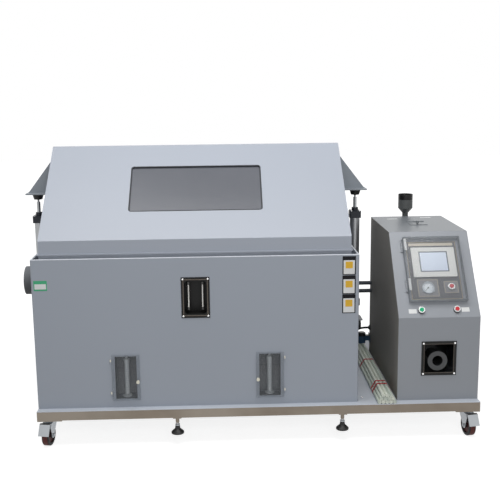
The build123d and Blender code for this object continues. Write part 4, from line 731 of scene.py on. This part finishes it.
def foot_look(start):
    height = along(start, (0, 0, 1))
    stem = height.over(foot_bell_top)
    thread = along(start, (0, 0, 1)) * thread_density
    ridge = start.maths("SINE", thread)
    sockets = coat(start, stem.between(grey(0.014), (0.45, 0.45, 0.46, 1)), 0.4)
    sockets["Metallic"] = stem * 0.9
    sockets["Normal"] = start.node(
        "ShaderNodeBump", {}, {"Strength": 0.5, "Distance": 0.0006, "Height": ridge * stem}, out="Normal"
    )
    return sockets


foot_finish = finish("foot_black_and_stem", foot_look, {"Specular IOR Level": 0.3})
for corner in corners:
    wear(f"levelling_foot_{corner}", foot_finish)

# %% [markdown]
# ## Clear and tinted plastic
# A clear sheet shows what is behind it, and still gets paler where it is seen edge on. Real
# refraction is slow, and adds nothing to a thin flat sheet, so the Alpha socket carries it:
# a low value straight on, raised by Fresnel at grazing angles.

# %% Clear sheets


def sheet_alpha(start, least, most):
    """See-through straight on, and more solid at a grazing angle."""
    return least + (most - least) * start.node("ShaderNodeFresnel", {}, {"IOR": 1.45})


def pane_look(start):
    sockets = coat(start, (0.112, 0.119, 0.140, 1), 0.2, drift=0.06, patch=3, grain=40, relief=0.01)
    sockets["Alpha"] = sheet_alpha(start, 0.93, 1.0)
    return sockets


def acrylic_look(tone, least, rough=0.1):
    def look(start):
        sockets = coat(start, tone, rough, drift=0.03, grain=30, relief=0.01)
        sockets["Alpha"] = sheet_alpha(start, least, 0.95)
        return sockets

    return look


tinted_pane = finish("tinted_pane", pane_look)
cover_face_start = 19 * mm


def cover_look(start):
    out = along(start, slope_out, (console_left, console_front, slope_start))
    # The cover's walls are painted pale and partly solid: a painted highlight along its edges.
    wall_highlight = out.under(cover_face_start) * out.over(1.5 * mm)
    tone = wall_highlight.between((0.50, 0.53, 0.56, 1), (0.66, 0.69, 0.72, 1))
    sockets = coat(start, tone, 0.1, drift=0.03, grain=30)
    sockets["Alpha"] = sheet_alpha(start, 0.03, 0.9).most(wall_highlight * 0.30)
    return sockets


clear_cover = finish("clear_cover", cover_look)
lab_glass = finish("lab_glass", acrylic_look((0.72, 0.76, 0.78, 1), 0.34, 0.08))
wear("lid_window", tinted_pane)
wear("panel_cover", clear_cover)
wear("spray_tower", lab_glass)

# %% [markdown]
# The niche doors are clear too, but each is one part with its knob and its hinge, and those
# aren't clear. Masks again: what stands in front of the sheet is the knob, and what lies
# outside its hinge edge is metal. Both make the part solid there.

# %% Niche doors
niche_reach = 304 * mm
niche_middles = (tank_middle_x - niche_reach, tank_middle_x + niche_reach)
door_front = 6.0 * mm
hinge_edge = 59.3 * mm
for node, middle_x in zip(("niche_door_left", "niche_door_right"), niche_middles):

    def door_look(start, middle_x=middle_x):
        knob = along(start, (0, -1, 0), (0, tank_low.y, 0)).over(door_front)
        hinge = along(start, (1, 0, 0), (middle_x, 0, 0)).size().over(hinge_edge)
        solid = knob.either(hinge)
        sheet = hinge.between((0.52, 0.56, 0.60, 1), (0.5, 0.5, 0.52, 1))
        tone = knob.between(sheet, (0.82, 0.79, 0.66, 1))
        sockets = coat(start, tone, 0.15, drift=0.03, grain=60, relief=0.02)
        sockets["Alpha"] = sheet_alpha(start, 0.05, 0.95).most(solid)
        return sockets

    wear(node, finish(node + "_acrylic", door_look))

# %% [markdown]
# The niches are lined with a folded sheet with one seam across it. Its grey is painted dark as
# painted shade, and darker still towards its top, where no light comes in. The measuring cylinders
# in them are clear plastic with printed rings, drawn from the height: a saw-tooth of the height
# repeats every ten millimetres, and its first part is ink. The level tubes are clear too, with a pale core.

# %% Niches, measuring cylinders and level tubes
niche_floor_z = deck_high.z + 38 * mm
lining_seam = 117 * mm
rings_per_metre = 100


def niche_look(start):
    height = along(start, (0, 0, 1), (0, 0, niche_floor_z))
    seam = (height - lining_seam).size().under(1.2 * mm)
    # Painted shade: the lining is painted dark, and darkest towards its top.
    lit = height.step(190 * mm, 20 * mm)
    tone = lit.between((0.030, 0.031, 0.033, 1), (0.135, 0.140, 0.150, 1))
    inside = seam.between(tone, grey(0.02))
    front = along(start, (0, 1, 0), (0, tank_low.y, 0)).under(0.4 * mm)
    return coat(start, front.between(inside, tank_tone), 0.4, drift=0.05, patch=9)


wear("niche_pockets", finish("niche_lining", niche_look, {"Specular IOR Level": 0.3}))


def jar_look(start):
    height = along(start, (0, 0, 1), (0, 0, niche_floor_z))
    tooth = start.maths("FRACT", height * rings_per_metre)
    scale_part = height.over(25 * mm) * height.under(140 * mm)
    ink = tooth.under(0.09) * scale_part
    sockets = coat(start, ink.between((0.80, 0.84, 0.86, 1), (0.20, 0.24, 0.30, 1)), 0.12, grain=50)
    sockets["Alpha"] = sheet_alpha(start, 0.55, 1.0).most(ink)
    return sockets


wear("measuring_cylinders", finish("printed_cylinder", jar_look))

tubes_low, tubes_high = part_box("level_tubes")
core_inset = 9 * mm
fitting_cover = 6 * mm
print("level tubes, width in mm:", round((tubes_high.x - tubes_low.x) / mm, 1))
level_low = deck_high.z + 423 * mm
level_high = deck_high.z + 531 * mm


def level_tube_look(start):
    height = along(start, (0, 0, 1))
    fitting = height.under(level_low + fitting_cover) + height.over(level_high - fitting_cover)
    back = along(start, (0, 1, 0), (0, tank_low.y, 0)).over(30 * mm)
    dark = fitting.most(back)
    middle = (tubes_low.x + tubes_high.x) / 2
    spread = (tubes_high.x - tubes_low.x) / 2 - core_inset
    core = (along(start, (1, 0, 0), (middle, 0, 0)).size() - spread).size().under(2.4 * mm)
    glass = core.between(grey(0.05), (0.86, 0.84, 0.80, 1))
    sockets = coat(start, dark.between(glass, grey(0.02)), 0.2, grain=80)
    sockets["Alpha"] = sheet_alpha(start, 0.2, 1.0).most(core.most(dark))
    return sockets


wear("level_tubes", finish("level_tube_glass", level_tube_look))

# %% [markdown]
# ## Moulded plastic and rubber
# Moulded parts come out of a tool with a fine even grain, and they scatter light a little
# more than paint. The formula stays the same, and only its numbers change, so a table says
# it all: the colour, the roughness, and the part that wears it.

# %% Plastics
moulded = {
    "white_plastic": ((0.62, 0.64, 0.66, 1), 0.5, ("rack_rails", "collection_funnels")),
    "pipe_plastic": ((0.060, 0.070, 0.085, 1), 0.4, ("connecting_pipes",)),
    "fitting_black": ((0.014, 0.014, 0.016, 1), 0.45, ("service_fittings",)),
    "needle_black": ((0.012, 0.012, 0.012, 1), 0.4, ("gauge_needle",)),
    "button_green": ((0.012, 0.42, 0.19, 1), 0.28, ("button_start",)),
    "button_red": ((0.58, 0.035, 0.045, 1), 0.28, ("button_stop",)),
    "button_rose": ((0.74, 0.13, 0.15, 1), 0.28, ("button_power",)),
}
for name, (tone, rough, nodes) in moulded.items():

    def moulded_look(start, tone=tone, rough=rough):
        return coat(start, tone, rough, drift=0.07, patch=12, grain=500, relief=0.06)

    made = finish(name, moulded_look, {"Specular IOR Level": 0.35})
    for node in nodes:
        wear(node, made)


def hose_look(start):
    return coat(start, (0.012, 0.012, 0.013, 1), 0.5, drift=0.2, patch=20, grain=300, relief=0.1)


wear("water_hose", finish("hose_rubber", hose_look, {"Specular IOR Level": 0.25}))

# %% [markdown]
# The specimen rods are plastic rods of a faint green grey. Each is cut from a different
# length, so their tone should differ from rod to rod. A noise that changes across the
# bundle, and hardly at all along it, gives every rod a tone of its own.

# %% Specimen rods


def rod_look(start):
    each = cloud(start, 45, (1, 0.01, 1), 0.0).step(0.3, 0.7)
    tone = each.between((0.44, 0.50, 0.44, 1), (0.68, 0.71, 0.62, 1))
    return coat(start, tone, 0.4, drift=0.05, patch=8, grain=300, stretch=(1, 0.05, 1))


wear("rod_bundle", finish("rod_plastic", rod_look))

# %% [markdown]
# The exhaust port is a socket of grey pipe plastic. Its lower half faces away from the light, so a
# painted shade runs as a ramp of the height, from nearly black to grey across its diameter.

# %% Exhaust port
port_low, port_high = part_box("exhaust_port")
port_middle_z = (port_low.z + port_high.z) / 2
port_reach = 60 * mm


def port_look(start):
    # Painted shade: dark at the bottom of the port, grey at its top.
    painted_shade_ramp = along(start, (0, 0, 1), (0, 0, port_middle_z)).step(-port_reach, port_reach)
    tone = painted_shade_ramp.between((0.030, 0.032, 0.035, 1), (0.170, 0.180, 0.195, 1))
    return coat(start, tone, 0.6, drift=0.07, patch=12)


wear("exhaust_port", finish("port_plastic", port_look, {"Specular IOR Level": 0.35}))

# %% [markdown]
# Three dark mouldings each have two tones: the funnel's cup has a black band, the barrel's
# spout is paler than the barrel behind it, and the pump has a blue body under a black head.

# %% Filler funnel, barrel and pump
funnel_band = deck_high.z + 773 * mm
pump_band = deck_high.z + 84 * mm


def funnel_look(start):
    band = along(start, (0, 0, 1)).over(funnel_band)
    tone = band.between((0.085, 0.09, 0.09, 1), grey(0.006))
    return coat(start, tone, 0.42, drift=0.1, patch=14, grain=350, relief=0.08)


def barrel_look(start):
    spout = along(start, (0, 1, 0), (0, console_front, 0)).under(20 * mm)
    tone = spout.between((0.02, 0.021, 0.022, 1), (0.036, 0.038, 0.041, 1))
    return coat(start, tone, 0.35, drift=0.1, patch=14)


def pump_look(start):
    upper = along(start, (0, 0, 1)).over(pump_band)
    tone = upper.between((0.030, 0.070, 0.130, 1), (0.012, 0.012, 0.014, 1))
    return coat(start, tone, 0.35, drift=0.1, patch=25)


wear("filler_funnel", finish("funnel_plastic", funnel_look, {"Specular IOR Level": 0.3}))
wear("humidifier_barrel", finish("barrel_plastic", barrel_look))
wear("water_pump", finish("pump_plastic", pump_look, {"Specular IOR Level": 0.35}))

# %% [markdown]
# ## Windows with black frames
# The level window and the round inspection port sit in black anodised plates. On the
# inspection plate the screws belong to the CAD part, so the finish finds them by how far
# they stand out, and turns to bright steel there.

# %% Black frames


def window_look(start):
    head = along(start, (0, -1, 0), (0, console_front, 0)).over(3.3 * mm)
    sockets = coat(start, head.between(grey(0.010), grey(0.75)), 0.4, drift=0.2, patch=30, grain=500)
    sockets["Metallic"] = head * 0.95
    return sockets


def level_frame_look(start):
    return coat(start, grey(0.007), 0.42, drift=0.2, patch=30, grain=500)


wear("inspection_window", finish("window_plate", window_look, {"Specular IOR Level": 0.2}))
level_black = finish("level_window_black", level_frame_look, {"Specular IOR Level": 0.2})
wear("level_window_frame", level_black)

# %% [markdown]
# ## Control panel
# The control plate is a printed grey sheet behind a clear hinged cover, with two raised
# plates, a touch screen, a gauge and three push buttons. Each button's ring has a black
# base, found by its distance out of the slope.

# %% Controls
raised_start = 1.2 * mm
ring_base = 4.1 * mm
cover_edge = 80 * mm


def control_look(start):
    out = along(start, slope_out, (console_left, console_front, slope_start))
    raised_part = out.over(raised_start)
    tone = raised_part.between((0.135, 0.137, 0.150, 1), (0.27, 0.272, 0.285, 1))
    return coat(start, tone, 0.4, drift=0.03, patch=10, grain=600, stretch=(0.05, 1, 1))


def bezel_look(start):
    out = along(start, slope_out, (console_left, console_front, slope_start))
    up_slope = along(start, slope_across, (console_left, console_front, slope_start))
    base = out.under(ring_base) * up_slope.under(cover_edge)
    sockets = coat(start, base.between((0.62, 0.63, 0.63, 1), grey(0.012)), 0.22, grain=500)
    sockets["Metallic"] = 0.9 * (1 - base)
    return sockets


def touch_look(start):
    return coat(start, (0.90, 0.90, 0.87, 1), 0.42, drift=0.02, patch=12, grain=700, relief=0.04)


def gauge_look(start):
    return coat(start, (0.52, 0.56, 0.62, 1), 0.35, drift=0.04, patch=30, grain=600)


wear("control_plate", finish("control_plate_grey", control_look))
wear("button_bezels", finish("button_rings", bezel_look))
wear("touch_panel", finish("touch_bezel_cream", touch_look))
wear("gauge_case", finish("gauge_white", gauge_look))

# %% [markdown]
# The screen is dark glass with a lit picture area. Here it is idle: a pale blue field that
# glows a little, in a thin dark surround. Both are thin sheets laid in the bezel's recess.

# %% Touch screen
screen_middle = (181, 260)


def surround_look(start):
    return coat(start, (0.125, 0.145, 0.185, 1), 0.2, drift=0.1, patch=20, grain=200, relief=0.01)


def display_look(start):
    fade = along(start, slope_across, (console_left, console_front, slope_start)).step(0.21, 0.31)
    tone = fade.between((0.60, 0.66, 0.77, 1), (0.66, 0.73, 0.83, 1))
    sockets = coat(start, tone, 0.25, drift=0.02, patch=15, grain=800, relief=0.01)
    sockets["Emission Color"] = tone
    return sockets


screen_surround = finish("screen_surround", surround_look)
screen_display = finish("screen_display", display_look, {"Emission Strength": 0.22})
new_piece(
    "screen_surround",
    lambda shape: plate(shape, slope_face, screen_middle, (125.4, 97.4), 0.5, 1.5, 5.02),
    screen_surround, "chassis",
)
new_piece(
    "screen_display",
    lambda shape: plate(shape, slope_face, screen_middle, (116, 88), 0.35, 1.0, 5.5, 0.1),
    screen_display, "chassis",
)

# %% [markdown]
# Round the plates run thin printed lines in a pale gold, and above the screen there is a
# broad cream strip that names nothing here. The lines are narrow bands with a little height,
# like a thick silk-screen print.

# %% Printed lines and strips
gauge_middle = (142, 136)
power_middle = (242, 139)


def print_look(tone, rough=0.35):
    return lambda start: coat(start, tone, rough, drift=0.08, patch=25, grain=500, relief=0.05)


gold_print = finish("gold_print", print_look((0.52, 0.44, 0.30, 1)))
cream_print = finish("cream_print", print_look((0.66, 0.60, 0.50, 1)))
blank_print = finish("blank_label", print_look((0.74, 0.75, 0.75, 1)))
dial_print = finish("dial_print", print_look((0.86, 0.91, 0.95, 1)))
dark_print = finish("dark_label", print_look((0.006, 0.006, 0.008, 1), 0.6), {"Specular IOR Level": 0.15})
amber_print = finish("amber_label", print_look((0.72, 0.42, 0.02, 1)))
green_print = finish("green_label", print_look((0.035, 0.36, 0.17, 1)))


def draw_lines(shape):
    border(shape, slope_face, (177, 220), (218, 274), 1.6, 0.3, 3, 1.0, 0.1)
    border(shape, slope_face, gauge_middle, (88, 78), 1.8, 0.3, 3, 1.8, 0.1)
    border(shape, slope_face, power_middle, (58, 53), 1.6, 0.3, 3, 1.8, 0.1)


new_piece("panel_lines", draw_lines, gold_print, "chassis")
new_piece(
    "panel_strip",
    lambda shape: plate(shape, slope_face, (177, 345), (196, 13), 0.4, 1.5, 1.0),
    cream_print, "chassis",
)


def draw_button_labels(shape):
    plate(shape, slope_face, (63, 30), (34, 20), 0.5, 1.5)
    plate(shape, slope_face, (289, 34), (34, 20), 0.5, 1.5)


new_piece("button_labels", draw_button_labels, blank_print, "chassis")

# %% [markdown]
# The gauge's dial is a pale disc with a scale of short strokes over three quarters of a
# turn, every fifth one longer. The strokes are drawn as thin raised bars, so they stay sharp
# however near the camera comes.

# %% Gauge dial
dial_radius = 23
dial_lift = 3.3
dial_profile = [
    (dial_radius, dial_lift),
    (dial_radius, dial_lift + 0.1),
    (dial_radius - 0.2, dial_lift + 0.18),
]
stroke_count = 31
first_stroke = 225
stroke_step = 9
stroke_reach = 21.0


def draw_strokes(shape):
    for number in range(stroke_count):
        turn = math.radians(first_stroke - number * stroke_step)
        length = 4.5 if number % 5 == 0 else 2.6
        middle = stroke_reach - length / 2
        spoke = slope_face @ Matrix.Translation((gauge_middle[0] * mm, gauge_middle[1] * mm, 0))
        spoke = spoke @ Matrix.Rotation(turn, 4, "Z")
        plate(shape, spoke, (middle, 0), (length, 0.8), 0.12, 0.1, dial_lift + 0.15, 0.05)


new_piece(
    "gauge_dial",
    lambda shape: turned(shape, slope_face, gauge_middle, dial_profile, 48),
    dial_print, "chassis",
)
new_piece("gauge_strokes", draw_strokes, dark_print, "chassis")

# %% [markdown]
# ## Lid window seal
# A black rubber seal runs round the edge of the opening in the lid and hides the cut sheet.
# It is a band of its own, pressed into the corner between the edge and the pane.

# %% Seal


def rubber_look(start):
    return coat(start, (0.055, 0.058, 0.064, 1), 0.6, drift=0.15, patch=20, grain=400, relief=0.1)


seal_rubber = finish("seal_rubber", rubber_look, {"Specular IOR Level": 0.2})
new_piece(
    "pane_seal",
    lambda shape: border(shape, lid_face, (0, 293), (574.6, 271.6), 5, 7.0, 13.8, -6.2, 1.0),
    seal_rubber, "lid",
)

# %% [markdown]
# ## Labels on the tank and the console
# The places of labels are kept, with plain labels that say nothing: a dark head, an amber
# panel and a pale field on the three at the right of the tank, and a green-edged tag at the
# left. Two pale tags lie on the console's top.

# %% Labels
label_x = 1317
label_rows = ((597.5, 79), (516, 80), (434, 82))
head_width = 56
field_width = 47
amber_width = 30


def draw_heads(shape):
    for middle, height in label_rows:
        plate(shape, tank_face, (label_x, middle), (head_width, height), 0.4, 2)


def draw_fields(shape):
    for middle, height in label_rows:
        spot = (label_x, middle - 0.085 * height)
        plate(shape, tank_face, spot, (field_width, 0.74 * height), 0.25, 1.5, 0.4, 0.1)


def draw_ambers(shape):
    for middle, height in label_rows:
        spot = (label_x, middle + 0.03 * height)
        plate(shape, tank_face, spot, (amber_width, 0.36 * height), 0.2, 2.0, 0.65, 0.1)


new_piece("tank_label_heads", draw_heads, dark_print, "chassis")
new_piece("tank_label_panels", draw_ambers, amber_print, "chassis")
new_piece("tank_label_fields", draw_fields, blank_print, "chassis")
new_piece(
    "tank_tag_edge",
    lambda shape: plate(shape, tank_face, (38, 534.5), (55, 43), 0.4, 1.5),
    green_print, "chassis",
)
new_piece(
    "tank_tag_field",
    lambda shape: plate(shape, tank_face, (38, 531), (47, 22), 0.25, 1.0, 0.4, 0.1),
    blank_print, "chassis",
)


def draw_top_tags(shape):
    plate(shape, top_face, (89, 619), (50, 15), 0.4, 1.5)
    plate(shape, top_face, (259, 649), (52, 15), 0.4, 1.5)


new_piece("console_top_tags", draw_top_tags, blank_print, "chassis")

# %% [markdown]
# ## Screws, bolts and washers
# Every plate and bracket is held by something. The CAD part leaves most of the small heads
# out, because they don't change how it works, so they are drawn here: cross-head screws in
# the windows and hinges, socket bolts in the cylinder caps, and hexagon bolts on the frame.

# %% Screws on the fronts and the back
level_spot = (676, 473)


def draw_level_screws(shape):
    for side_u in (-1, 1):
        for side_v in (-1, 1):
            screw(shape, tank_face, (level_spot[0] + 52 * side_u, level_spot[1] + 79 * side_v), 4, 2.0)


new_piece("level_window_screws", draw_level_screws, screw_steel, "chassis")
bead_bronze = finish("bead_bronze", print_look((0.105, 0.080, 0.058, 1), 0.3))
new_piece(
    "level_window_bead",
    lambda shape: border(shape, tank_face, level_spot, (104, 157), 3.0, 0.8, 5, 2.0),
    bead_bronze, "chassis",
)
new_piece(
    "inspection_bead",
    lambda shape: border(shape, console_face, (175.5, 185.5), (129, 129), 1.4, 0.5, 2, 3.0, 0.15),
    bead_bronze, "chassis",
)

hinge_places = (250, 1110)
hinge_screw_spread = 22
leaf_thickness = 5.0
back_face = flat((tank_high.x, tank_high.y, tank_high.z), (-1, 0, 0), (0, 0, 1))
lid_back_face = flat((tank_high.x, tank_high.y - lid_inset, tank_high.z), (-1, 0, 0), (0, 0, 1))


def draw_leaf_screws(shape):
    for u in hinge_places:
        for du in (-hinge_screw_spread, hinge_screw_spread):
            for v in (-16, -74):
                screw(shape, back_face, (u + du, v), 4, leaf_thickness)


def draw_lid_leaf_screws(shape):
    for u in hinge_places:
        for du in (-hinge_screw_spread, hinge_screw_spread):
            for v in (31, 57):
                screw(shape, lid_back_face, (u + du, v), 4, leaf_thickness)


new_piece("hinge_screws", draw_leaf_screws, screw_steel, "chassis")
new_piece("lid_hinge_screws", draw_lid_leaf_screws, screw_steel, "lid")

# %% [markdown]
# The brackets of the cylinders and the wings of the lid carry the lid's whole weight, so
# they have hexagon bolts. Those of the wings ride the lid, and rise with it.

# %% Bolts on the brackets, the wings and the deck
bolt_reach = 28
bracket_rows = (165, 205, 252)
bracket_lift = 3.0
wing_rows = (884, 940, 1000)
wing_lift = -27.0
deck_screw_places = ((1386, 48), (1500, 20), (1386, 905), (1500, 905))
left_face = flat((tank_low.x, tank_middle_y, deck_high.z), (0, -1, 0), (0, 0, 1))
right_face = flat((tank_high.x, tank_middle_y, deck_high.z), (0, 1, 0), (0, 0, 1))


def draw_bracket_bolts(shape):
    for face in (left_face, right_face):
        for u in (-bolt_reach, bolt_reach):
            for v in bracket_rows:
                bolt(shape, face, (u, v), 4.5, bracket_lift)


def draw_wing_bolts(shape):
    for face in (left_face, right_face):
        for u in (-bolt_reach, bolt_reach):
            for v in wing_rows:
                bolt(shape, face, (u, v), 4.5, wing_lift)


new_piece("bracket_bolts", draw_bracket_bolts, screw_steel, "chassis")
new_piece("wing_bolts", draw_wing_bolts, screw_steel, "lid")


def draw_deck_bolts(shape):
    for place in deck_screw_places:
        screw(shape, deck_face, place, 5)


new_piece("deck_screws", draw_deck_bolts, screw_steel, "chassis")

# %% [markdown]
# Four socket bolts close the upper cap of each lift cylinder. They ride the cylinder, which
# tilts as the lid rises.

# %% Bolts in the cylinder caps
cylinder_offset = 53
tank_width = (tank_high.x - tank_low.x) / mm
for name, offset in (("left", -cylinder_offset), ("right", tank_width + cylinder_offset)):

    def draw_cap_bolts(shape, offset=offset):
        head = flat((tank_low.x + offset * mm, tank_middle_y, tube_high + cap_length), (1, 0, 0), (0, 1, 0))
        for u in (-19, 19):
            for v in (-19, 19):
                socket_bolt(shape, head, (u, v), 4)

    new_piece(
        f"cylinder_bolts_{name}", draw_cap_bolts, screw_steel, f"cylinder_{name}"
    )

# %% [markdown]
# Each caster hangs by four bolts under the frame, and each levelling foot has a lock nut on
# its stem. The nut rides the foot, so it goes down with it.

# %% Caster bolts and foot nuts
caster_inset_x = 42 * mm
caster_inset_y = 65 * mm
deck_overhang = 35 * mm
top_plate_low = 115 * mm


def draw_caster_bolts(shape):
    for x in (tank_low.x + caster_inset_x, console_right - caster_inset_x):
        for y in (tank_low.y - deck_overhang + caster_inset_y, tank_high.y - caster_inset_y):
            under = flat((x, y, top_plate_low), (1, 0, 0), (0, -1, 0))
            for u in (-24, 24):
                for v in (-35, 35):
                    bolt(shape, under, (u, v), 4)


new_piece("caster_bolts", draw_caster_bolts, zinc_plate, "chassis")
for corner in corners:

    def draw_foot_nut(shape, corner=corner):
        foot_low, foot_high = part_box(f"levelling_foot_{corner}")
        middle = (foot_low + foot_high) / 2
        up = flat((middle.x, middle.y, foot_bell_top), (1, 0, 0), (0, 1, 0))
        nut = [(9, 0.0, "hexagon"), (9.6, 0.5, "hexagon"), (9.6, 4.3, "hexagon"), (8.6, 5.0), (6.3, 5.0)]
        turned(shape, up, (0, 0), nut)

    new_piece(f"foot_nut_{corner}", draw_foot_nut, zinc_plate, f"foot_{corner}")

# %% [markdown]
# ## Ties round the rods
# The specimen rods lie in a heap, tied with red tape. A tie hugs the heap: its path is the
# outline of the outer rods, made of straight runs and an arc round each corner rod. The
# tape then has a width along the rods and a small thickness.

# %% Ties


def tie_path(centres, reach, steps=6):
    """The taut outline round some rods: arcs at the outer ones, straight runs between."""
    points = []
    count = len(centres)
    for number, centre in enumerate(centres):
        before = centres[number - 1]
        after = centres[(number + 1) % count]
        start = math.atan2(centre[1] - before[1], centre[0] - before[0]) - math.pi / 2
        end = math.atan2(after[1] - centre[1], after[0] - centre[0]) - math.pi / 2
        turn = (end - start) % (2 * math.pi)
        for number_in in range(steps + 1):
            angle = start + turn * number_in / steps
            points.append((centre[0] + reach * math.cos(angle), centre[1] + reach * math.sin(angle)))
    return points


rods_low, rods_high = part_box("rod_bundle")
rod_radius = 8.0
rod_pitch = 16.3
tie_places = (92, 128, 432, 764)
tie_width = 12
tie_low = rod_radius + 0.1
tie_high = rod_radius + 0.9
rods_middle = (rods_low.x + rods_high.x) / 2 / mm
top_row = deck_high.z / mm + rod_radius + 2 * rod_pitch * math.cos(math.pi / 6)
low_row = deck_high.z / mm + rod_radius
outer_rods = [
    (rods_middle - 2 * rod_pitch, low_row),
    (rods_middle + 2 * rod_pitch, low_row),
    (rods_middle + rod_pitch, top_row),
    (rods_middle - rod_pitch, top_row),
]


def draw_ties(shape):
    for front in tie_places:
        rings = []
        y = tank_low.y / mm + front
        for reach, along_y in ((tie_low, 0), (tie_high, 0), (tie_high, tie_width), (tie_low, tie_width)):
            path = tie_path(outer_rods, reach)
            rings.append([Vector((x * mm, (y + along_y) * mm, z * mm)) for x, z in path])
        skin(shape, rings, loop=True)


red_tape = finish("red_tape", print_look((0.40, 0.010, 0.020, 1), 0.5))
new_piece("rod_ties", draw_ties, red_tape, "chassis")

# %% [markdown]
# ## Cover hinge strips
# The clear cover turns on two hinges at its left edge, and their pale leaves are glued to
# the inside of the cover, so they swing with it.

# %% Hinge strips
cover_hinge_places = (147, 338)


def draw_cover_leaves(shape):
    for middle in cover_hinge_places:
        plate(shape, slope_face, (61, middle), (11, 56), 0.8, 1.5, 21.0)


new_piece("cover_hinge_leaves", draw_cover_leaves, blank_print, "panel_cover")

# %% Count of finishes
print("finishes made:", len(finishes))
